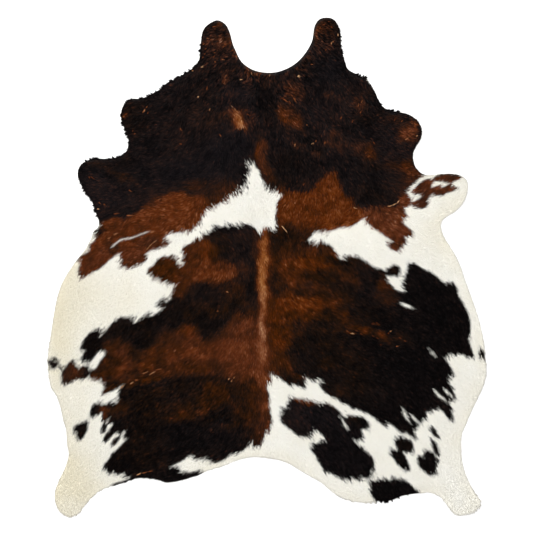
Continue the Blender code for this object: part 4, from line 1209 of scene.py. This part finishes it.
def outwardFrom(x, y):
    # The way out over the nearest cut edge, as a complex number.
    outward = (
        readChart(rimDistance, x - 1, y) - readChart(rimDistance, x + 1, y)
        + 1j * (readChart(rimDistance, x, y - 1) - readChart(rimDistance, x, y + 1))
    )
    return outward / np.maximum(np.abs(outward), 1e-6)


def shapeTufts(pixelX, pixelY):
    # Every tuft's four corners (two at its root, one on its back and its tip) and its pigment.
    count = len(pixelX)
    turn = np.radians(coat["strayTurn"] * chance.standard_normal(count))
    toward = readChart(flow, pixelX, pixelY) * np.exp(1j * turn)
    # on a ragged edge the hair sticks out over the cut, lock by lock
    edge = readChart(rimDistance, pixelX, pixelY)
    splay = readChart(raggedChart, pixelX, pixelY) * np.clip(1 - edge / coat["splayDepth"], 0, 1)
    toward = toward * (1 - splay) + 1.2 * outwardFrom(pixelX, pixelY) * splay
    toward /= np.abs(toward)
    length = coat["length"] * chance.uniform(*coat["lengthSpread"], count)
    spiked = np.clip(2.4 * readChart(spikes, pixelX, pixelY), 0, 1.2)
    reach = coat["pastEdge"] * chance.uniform(0.3, 1.0, count)
    splayed = np.minimum(1.5 * splay, 1)
    reach = reach + (coat["pastRaggedEdge"] - coat["pastEdge"]) * splayed * spiked
    perPixel = photo["pixel"] / millimetre
    for _ in range(4):  # a tuft that reaches too far past the edge is cut back in a few steps
        tip = pixelX + 1j * pixelY + toward * length / perPixel
        past = -readChart(rimDistance, tip.real, tip.imag) - reach
        length = np.maximum(length - np.maximum(past, 0) * 1.3, coat["shortest"])
    tipX = pixelX + toward.real * length / perPixel
    tipY = pixelY + toward.imag * length / perPixel
    width = coat["width"] * chance.uniform(*coat["widthSpread"], count)
    width = width * (1 + coat["spikeBreadth"] * splayed * np.minimum(spiked, 1))
    fullness = np.clip(edge / leather["edgeTaper"], 0.25, 1)
    # the pale hair lies closer and more even
    flatter = 0.2 + 0.8 * np.clip(readChart(darkChart, pixelX, pixelY), 0, 1)
    rise = sum(coat["tip"]) / 2 + np.diff(coat["tip"]) * chance.uniform(-0.5, 0.5, count) * flatter
    rise = rise * fullness * (0.4 + 0.6 * length / coat["length"])
    rootHeight = heightOfLeather(pixelX, pixelY) - coat["rootDepth"] * millimetre
    rootHeight = np.maximum(rootHeight, 0.1 * millimetre)
    tipHeight = np.maximum(heightOfLeather(tipX, tipY) + rise * millimetre, 0.3 * millimetre)
    ridge = chance.uniform(*coat["ridge"], count) * fullness * flatter
    root, tip = pixelX + 1j * pixelY, tipX + 1j * tipY
    corners = tuftCorners(root, tip, rootHeight, tipHeight, width, ridge)
    shown = root + coat["shown"] * (tip - root)
    stray = np.clip(chance.standard_normal((3, count)), -1.9, 1.9)
    colours = readCoat(shown.real, shown.imag, stray)
    return corners, colours


def tuftCorners(root, tip, rootHeight, tipHeight, width, ridge):
    # Width and ridge in millimetres, the rest as in the charts.
    toward = (tip - root) / np.abs(tip - root)
    side = 0.5j * toward * width * millimetre / photo["pixel"]
    back = root + 0.3 * (tip - root)
    backHeight = rootHeight + 0.3 * (tipHeight - rootHeight) + ridge * millimetre
    corners = np.empty((len(root), 4, 3))
    for number, (place, height) in enumerate([
        (root + side, rootHeight), (root - side, rootHeight), (back, backHeight), (tip, tipHeight),
    ]):
        corners[:, number, 0], corners[:, number, 1] = toMetres(place.real, place.imag)
        corners[:, number, 2] = height
    return corners


def shapePaleHairs():
    # The stray pale hairs, a few side by side over each place in the table.
    x, y, halfLength, halfWidth, turn, shade = np.repeat(
        np.array(paleFlecks), np.array([paleHairs["perFleck"]] * len(paleFlecks)), 0
    ).T
    count = len(x)
    toward = np.exp(-1j * np.radians(turn + chance.uniform(-8, 8, count)))
    middle = x + 1j * y + toward * 1j * halfWidth * chance.uniform(-0.8, 0.8, count)
    middle = middle + toward * halfLength * chance.uniform(-0.3, 0.3, count)
    root = middle - toward * halfLength * chance.uniform(0.5, 1.0, count)
    tip = middle + toward * halfLength * chance.uniform(0.7, 1.2, count)
    lift = paleHairs["lift"] * millimetre
    corners = tuftCorners(
        root, tip, heightOfLeather(root.real, root.imag) + lift,
        heightOfLeather(tip.real, tip.imag) + lift + 0.2 * millimetre,
        paleHairs["width"] * chance.uniform(0.7, 1.2, count), np.full(count, 0.3),
    )
    colours = np.stack([
        shade * chance.uniform(0.85, 1.1, count) / variety["palest"], np.ones(count),
        np.full(count, paleHairs["cast"]), np.zeros(count),
    ], 1)
    return corners, np.clip(colours, 0, 1)


def heightOfLeather(x, y):
    height = readChart(topHeight, x, y) - coatDepth(readChart(rimDistance, x, y))
    return np.maximum(height, leather["thickness"] * millimetre)


def makeStrip(name, corners, colours):
    # One strip of the coat as a single mesh of closed four-sided tufts.
    count = len(corners)
    order = np.lexsort((corners[:, 3, 0], np.floor(corners[:, 3, 1] / 0.01)))
    corners, colours = corners[order], colours[order]
    faces = np.array([(0, 3, 1), (0, 1, 2), (1, 3, 2), (3, 0, 2)])
    loops = (np.arange(count)[:, None, None] * 4 + faces).ravel()
    mesh = bpy.data.meshes.new(name)
    mesh.vertices.add(count * 4)
    mesh.vertices.foreach_set("co", corners.astype(np.float32).ravel())
    mesh.loops.add(len(loops))
    mesh.loops.foreach_set("vertex_index", loops.astype(np.int32))
    mesh.polygons.add(count * 4)
    mesh.polygons.foreach_set("loop_start", np.arange(0, len(loops), 3, dtype=np.int32))
    mesh.update(calc_edges=True)
    addCoatColour(mesh, np.repeat(colours, 4, 0))
    # every tuft has a cell of its own in the bake map
    flat = np.array([(0, 0), (1, 0), (0.5, 0.3), (0.5, 1)])
    side = math.ceil(math.sqrt(count))
    cell = np.stack([np.arange(count) % side, np.arange(count) // side], 1)[:, None, :]
    spread = (cell + 0.15 + 0.7 * flat) / side
    bakeMap = mesh.uv_layers.new(name="OFBake")
    bakeMap.data.foreach_set("uv", spread[:, faces].reshape(-1).astype(np.float32))
    strandMap = mesh.uv_layers.new(name="strand")
    start = chance.uniform(0, 90, count)[:, None]
    strand = np.stack([start + flat[None, :, 0], np.broadcast_to(flat[None, :, 1], (count, 4))], 2)
    strandMap.data.foreach_set("uv", strand[:, faces].reshape(-1).astype(np.float32))
    strip = bpy.data.objects.new(name, mesh)
    bpy.context.scene.collection.objects.link(strip)
    mesh.materials.append(hairMaterial)
    return strip


def liesInside(x, y, loop):
    startX, startY = loop.T
    endX, endY = np.roll(startX, -1), np.roll(startY, -1)
    spans = (startY > y) != (endY > y)
    crossing = startX + (y - startY) / np.where(spans, endY - startY, 1) * (endX - startX)
    return np.count_nonzero(spans & (crossing > x)) % 2 == 1


def fillSkin(mesh, rim, spacing, lift):
    # Even triangles inside a rim of corners, each new one lifted over the leather's underside.
    pixelX, pixelY = keepInside(*honeycomb(spacing), spacing * 0.4)
    heights = heightOfLeather(pixelX, pixelY) + (lift - leather["thickness"]) * millimetre
    inner = np.stack(toMetres(pixelX, pixelY), 1)
    points = [Vector(corner.co.xy) for corner in rim] + [Vector(point) for point in inner]
    border = [(number, (number + 1) % len(rim)) for number in range(len(rim))]
    flat, _, faces, origins, _, _ = delaunay_2d_cdt(points, border, [], 1, weldGap, True)
    corners = []
    for number, sources in enumerate(origins):
        if sources and sources[0] < len(rim):
            corners.append(rim[sources[0]])
        else:
            height = heights[sources[0] - len(rim)] if sources else rim[0].co.z
            corners.append(mesh.verts.new((*flat[number], height)))
    loop = np.array([corner.co.xy for corner in rim])
    for face in faces:
        spans = [corners[number] for number in face]
        middle = sum((corner.co for corner in spans), Vector()) / 3
        bridging = all(number < len(rim) for number in face)
        if not bridging or liesInside(middle.x, middle.y, loop):
            mesh.faces.new(spans)


def makeSkin(mesh, rim):
    # The leather under the coat: the solid's own cut edge with even faces over and under it.
    through = Vector((0, 0, leather["thickness"] * millimetre))
    under = [min(
        (edge.other_vert(corner) for edge in corner.link_edges),
        key=lambda other: (other.co - corner.co + through).length,
    ) for corner in rim]
    broad = [face for face in mesh.faces if abs(face.normal.z) > flatEnough]
    bmesh.ops.delete(mesh, geom=broad, context="FACES_ONLY")
    bmesh.ops.delete(mesh, geom=[v for v in mesh.verts if not v.link_faces], context="VERTS")
    fillSkin(mesh, rim, leather["topSpacing"], leather["thickness"])
    fillSkin(mesh, under, leather["undersideSpacing"], 0)
    loose = [edge for edge in mesh.edges if not edge.link_faces]
    bmesh.ops.delete(mesh, geom=loose, context="EDGES")
    bmesh.ops.recalc_face_normals(mesh, faces=mesh.faces)
    mesh.normal_update()
    for face in mesh.faces:
        face.smooth = True
        rises = face.normal.z
        face.material_index = 0 if rises > flatEnough else 2 if rises < -flatEnough else 1
    data = bpy.data.meshes.new("hideLeather")
    mesh.to_mesh(data)
    places = np.array([corner.co for corner in mesh.verts])
    pixelX, pixelY = toPixels(places[:, 0], places[:, 1])
    colours = readCoat(pixelX, pixelY, np.zeros((3, len(places))))
    colours[:, 0] *= leather["undercoatShade"]
    addCoatColour(data, colours)
    for material in (undercoatMaterial, cutEdgeMaterial, suedeMaterial):
        data.materials.append(material)
    skin = bpy.data.objects.new("hideLeather", data)
    bpy.context.scene.collection.objects.link(skin)
    return skin


def hexColour(code):
    # An sRGB hex value as linear light.
    channels = [int(code[place:place + 2], 16) / 255 for place in (1, 3, 5)]
    return (*(c / 12.92 if c <= 0.04045 else ((c + 0.055) / 1.055) ** 2.4 for c in channels), 1)


# Shades of the dark hair, from black to pale, as sRGB values. The rosy ramp's darkest
# stops are slate, which also serves as painted sheen on black hair.
hairShades = {
    "golden": [
        (0.0, "#060404"), (0.17, "#150d08"), (0.28, "#201207"), (0.44, "#311805"), (0.60, "#442005"),
        (0.76, "#5e2809"), (0.83, "#6a310c"), (0.91, "#773d13"), (1.0, "#874a1c"), (1.15, "#a3642c"),
        (1.3, "#c08848"),
    ],
    "rosy": [
        (0.0, "#070607"), (0.17, "#151214"), (0.28, "#211a1a"), (0.44, "#33201b"), (0.60, "#46281d"),
        (0.76, "#5f3424"), (0.83, "#6c3e2c"), (0.91, "#7a4a36"), (1.0, "#8b5a45"), (1.15, "#ac8268"),
        (1.3, "#c8a890"),
    ],
    "cream": "#fffdf5",
    "straw": "#f4ecd4",
}


def addNode(tree, kind, inputs=None, stops=None, **settings):
    # One shader node with its settings; an input takes a value or the socket that feeds it.
    node = tree.nodes.new(kind)
    for name, value in settings.items():
        setattr(node, name, value)
    for name, value in (inputs or {}).items():
        if isinstance(value, bpy.types.NodeSocket):
            tree.links.new(value, node.inputs[name])
        else:
            node.inputs[name].default_value = value
    for number, (place, colour) in enumerate(stops or []):
        elements = node.color_ramp.elements
        element = elements[number] if number < 2 else elements.new(place)
        element.position, element.color = place, colour
    return node


def newMaterial(name):
    material = bpy.data.materials.new(name)
    material.use_nodes = True
    tree = material.node_tree
    return material, tree, tree.nodes["Principled BSDF"]


def remap(tree, value, low, high, first=0.3, last=0.7):
    # A value stretched from first..last to low..high.
    inputs = {0: value, 1: first, 2: last, 3: low, 4: high}
    return addNode(tree, "ShaderNodeMapRange", inputs).outputs[0]


def mixColours(tree, first, second, share, blending="MIX"):
    inputs = {6: first, 7: second, 0: share}
    return addNode(tree, "ShaderNodeMix", inputs, data_type="RGBA", blend_type=blending).outputs[2]


def objectNoise(tree, size, detail):
    # Noise in the object's own space, its grains this many millimetres wide.
    place = addNode(tree, "ShaderNodeTexCoord")
    inputs = {"Vector": place.outputs["Object"], "Scale": 1 / (size * millimetre), "Detail": detail}
    return addNode(tree, "ShaderNodeTexNoise", inputs).outputs["Fac"]


def combine(tree, first, second, operation):
    return addNode(tree, "ShaderNodeMath", {0: first, 1: second}, operation=operation).outputs[0]


def dress(tree, surface, colour, relief, finish):
    # Joins a colour and a relief to the surface, with the finish's roughness, depth and sheen.
    tree.links.new(colour, surface.inputs["Base Color"])
    tree.links.new(remap(tree, relief, *finish["rough"]), surface.inputs["Roughness"])
    inputs = {
        "Height": relief, "Strength": finish["bump"], "Distance": finish["depth"] * millimetre,
    }
    bump = addNode(tree, "ShaderNodeBump", inputs)
    tree.links.new(bump.outputs[0], surface.inputs["Normal"])
    surface.inputs["Specular IOR Level"].default_value = finish["sheen"]


def pigment(tree, tone):
    # The coat's colour from the pigment painted on its corners, made lighter and darker by a tone.
    painted = addNode(tree, "ShaderNodeAttribute", attribute_name="coat")
    channels = addNode(tree, "ShaderNodeSeparateColor", {"Color": painted.outputs["Color"]}).outputs
    golden, rosy = (
        addNode(
            tree, "ShaderNodeValToRGB", {"Fac": channels["Red"]},
            stops=[(shade / variety["palest"], hexColour(code)) for shade, code in hairShades[kind]],
        ).outputs["Color"]
        for kind in ("golden", "rosy")
    )
    toned = mixColours(tree, golden, rosy, channels["Blue"])
    cream, straw = hexColour(hairShades["cream"]), hexColour(hairShades["straw"])
    pale = mixColours(tree, cream, straw, painted.outputs["Alpha"])
    colour = mixColours(tree, pale, toned, channels["Green"])
    # pale hair lets light through, so its strands and its painted root shadow differ less
    contrast = remap(tree, channels["Green"], 0.45, 1.0, 0.0, 1.0)
    return mixColours(tree, colour, tone, contrast, "MULTIPLY")


hairFinish = {
    "strandWidth": 0.5,  # millimetres
    "strandLength": 8.0,
    "paintedRootShadow": (0.82, 1.0, 0.0, 0.6),  # painted shadow, from the root to six tenths along the tuft
    "streakShade": (0.9, 1.08),
    "rough": (0.46, 0.62),
    "bump": 0.35,
    "depth": 0.3,
    "sheen": 0.012,
}
undercoatFinish = {
    "grain": 1.2,  # millimetres
    "shade": (0.7, 0.95),
    "rough": (0.7, 0.9),
    "bump": 0.6,
    "depth": 0.6,
    "sheen": 0.15,
}
leatherFinish = {"blotches": 90, "bump": 0.5, "depth": 0.5, "sheen": 0.2}
cutEdgeLook = {"pale": "#efe9dd", "deep": "#ddd3c2", "grain": 1.5, "rough": (0.72, 0.88)}
suedeLook = {"pale": "#d8c9b0", "deep": "#c2ae90", "grain": 2.5, "rough": (0.78, 0.94)}


def makeHairMaterial():
    # Combed cowhair with a faint sheen: colour from the painted pigment, fine strands and a
    # shadowed root from each tuft's own map. It reads as short sleek hair lying one way.
    material, tree, surface = newMaterial("cowhairCombed")
    strand = addNode(tree, "ShaderNodeUVMap", uv_map="strand").outputs["UV"]
    along = addNode(tree, "ShaderNodeSeparateXYZ", {0: strand}).outputs["Y"]
    # the map is one unit a tuft, 3.4 by 16 mm, so strands of 0.5 by 8 mm go 6.8 and 2 times in
    scale = (coat["width"] / hairFinish["strandWidth"], coat["length"] / hairFinish["strandLength"], 1)
    stretched = addNode(tree, "ShaderNodeMapping", {"Vector": strand, "Scale": scale}).outputs[0]
    inputs = {"Vector": stretched, "Scale": 1.0, "Detail": 2.0}
    strands = addNode(tree, "ShaderNodeTexNoise", inputs).outputs["Fac"]
    # painted shadow, darkest at each tuft's root
    root = remap(tree, along, *hairFinish["paintedRootShadow"])
    streak = remap(tree, strands, *hairFinish["streakShade"])
    colour = pigment(tree, combine(tree, root, streak, "MULTIPLY"))
    dress(tree, surface, colour, strands, hairFinish)
    return material


def makeUndercoatMaterial():
    # The short dense hair at the skin, in the coat's own pigment but duller, with grains of
    # about a millimetre. It reads as shade between the tufts.
    material, tree, surface = newMaterial("cowhairUndercoat")
    grain = objectNoise(tree, undercoatFinish["grain"], 3.0)
    colour = pigment(tree, remap(tree, grain, *undercoatFinish["shade"]))
    dress(tree, surface, colour, grain, undercoatFinish)
    return material


def makeLeatherMaterial(name, look):
    # Chrome-tanned split leather: a napped grain mottled between two tones. It reads as the
    # dry felt-like flesh side, and as the paler fibres where the hide is cut.
    material, tree, surface = newMaterial(name)
    nap = objectNoise(tree, look["grain"], 5.0)
    # blotches as the hide took the tan unevenly, about 90 mm across
    blotches = objectNoise(tree, leatherFinish["blotches"], 4.0)
    share = remap(tree, combine(tree, nap, blotches, "ADD"), 0.0, 1.0, 0.75, 1.25)
    colour = mixColours(tree, hexColour(look["deep"]), hexColour(look["pale"]), share)
    dress(tree, surface, colour, nap, {**leatherFinish, **look})
    return material


hairMaterial = makeHairMaterial()
undercoatMaterial = makeUndercoatMaterial()
cutEdgeMaterial = makeLeatherMaterial("leatherCutEdge", cutEdgeLook)
suedeMaterial = makeLeatherMaterial("leatherSuede", suedeLook)

skin = makeSkin(hideMesh, hideRim)
print("leather made, %d faces" % len(skin.data.polygons))

corners, colours = (
    np.concatenate(parts) for parts in zip(shapeTufts(*plantTufts()), shapePaleHairs())
)
print("%d tufts shaped" % len(corners))
stripNames = ["hairLeftLegs", "hairLeftSide", "hairSpine", "hairRightSide", "hairRightLegs"]
ranks = np.argsort(corners[:, 0, 0], kind="stable")
strips = []
for name, members in zip(stripNames, np.array_split(ranks, coat["strips"])):
    strips.append(makeStrip(name, corners[members], colours[members]))
print("coat made")

view = {
    "height": 7.0,  # metres over the floor, far enough for a flat, catalogue look
    "sensor": 36.0,
}
studio = {
    "floor": "#f3f3f3",
    "room": "#ffffff",
    "roomStrength": 1.19,
    "keySize": 3.0,
    "keyPower": 179.0,
    "keyColour": "#ffffff",
    "keyPlace": (-1.5, 2.5, 4.5),
}


def makeCamera():
    # Straight down, with the photograph's frame on the floor.
    width = photo["size"] * photo["pixel"]
    lens = bpy.data.cameras.new("studioCamera")
    lens.sensor_width = view["sensor"]
    lens.lens = view["sensor"] * view["height"] / width
    lens.clip_end = 100
    camera = bpy.data.objects.new("studioCamera", lens)
    centre = photo["size"] / 2
    camera.location = (
        (centre - photo["middle"][0]) * photo["pixel"],
        (photo["middle"][1] - centre) * photo["pixel"],
        view["height"],
    )
    bpy.context.scene.collection.objects.link(camera)
    bpy.context.scene.camera = camera


def makeStudio():
    # A wide pale floor under an even white room and one large soft light from the upper left.
    mesh = bmesh.new()
    bmesh.ops.create_grid(mesh, x_segments=1, y_segments=1, size=30)
    bmesh.ops.translate(mesh, verts=mesh.verts, vec=(0, 0, -0.5 * millimetre))
    data = bpy.data.meshes.new("studioFloor")
    mesh.to_mesh(data)
    mesh.free()
    floor = bpy.data.objects.new("studioFloor", data)
    bpy.context.scene.collection.objects.link(floor)
    material, tree, surface = newMaterial("floorPainted")
    surface.inputs["Base Color"].default_value = hexColour(studio["floor"])
    surface.inputs["Roughness"].default_value = 0.9
    surface.inputs["Specular IOR Level"].default_value = 0.0
    data.materials.append(material)
    light = bpy.data.lights.new("softKey", "AREA")
    light.shape = "RECTANGLE"
    light.size = light.size_y = studio["keySize"]
    light.energy = studio["keyPower"]
    light.color = hexColour(studio["keyColour"])[:3]
    key = bpy.data.objects.new("softKey", light)
    key.location = studio["keyPlace"]
    key.rotation_euler = (-Vector(studio["keyPlace"])).to_track_quat("-Z", "Y").to_euler()
    key.visible_camera = False
    bpy.context.scene.collection.objects.link(key)
    world = bpy.data.worlds.new("whiteRoom")
    world.use_nodes = True
    world.node_tree.nodes["Background"].inputs["Color"].default_value = hexColour(studio["room"])
    world.node_tree.nodes["Background"].inputs["Strength"].default_value = studio["roomStrength"]
    bpy.context.scene.world = world
    bpy.context.scene.view_settings.view_transform = "Standard"


makeCamera()
makeStudio()
print("camera and studio set")

for piece in [skin, *strips]:
    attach(piece, "root")
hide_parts("hide")
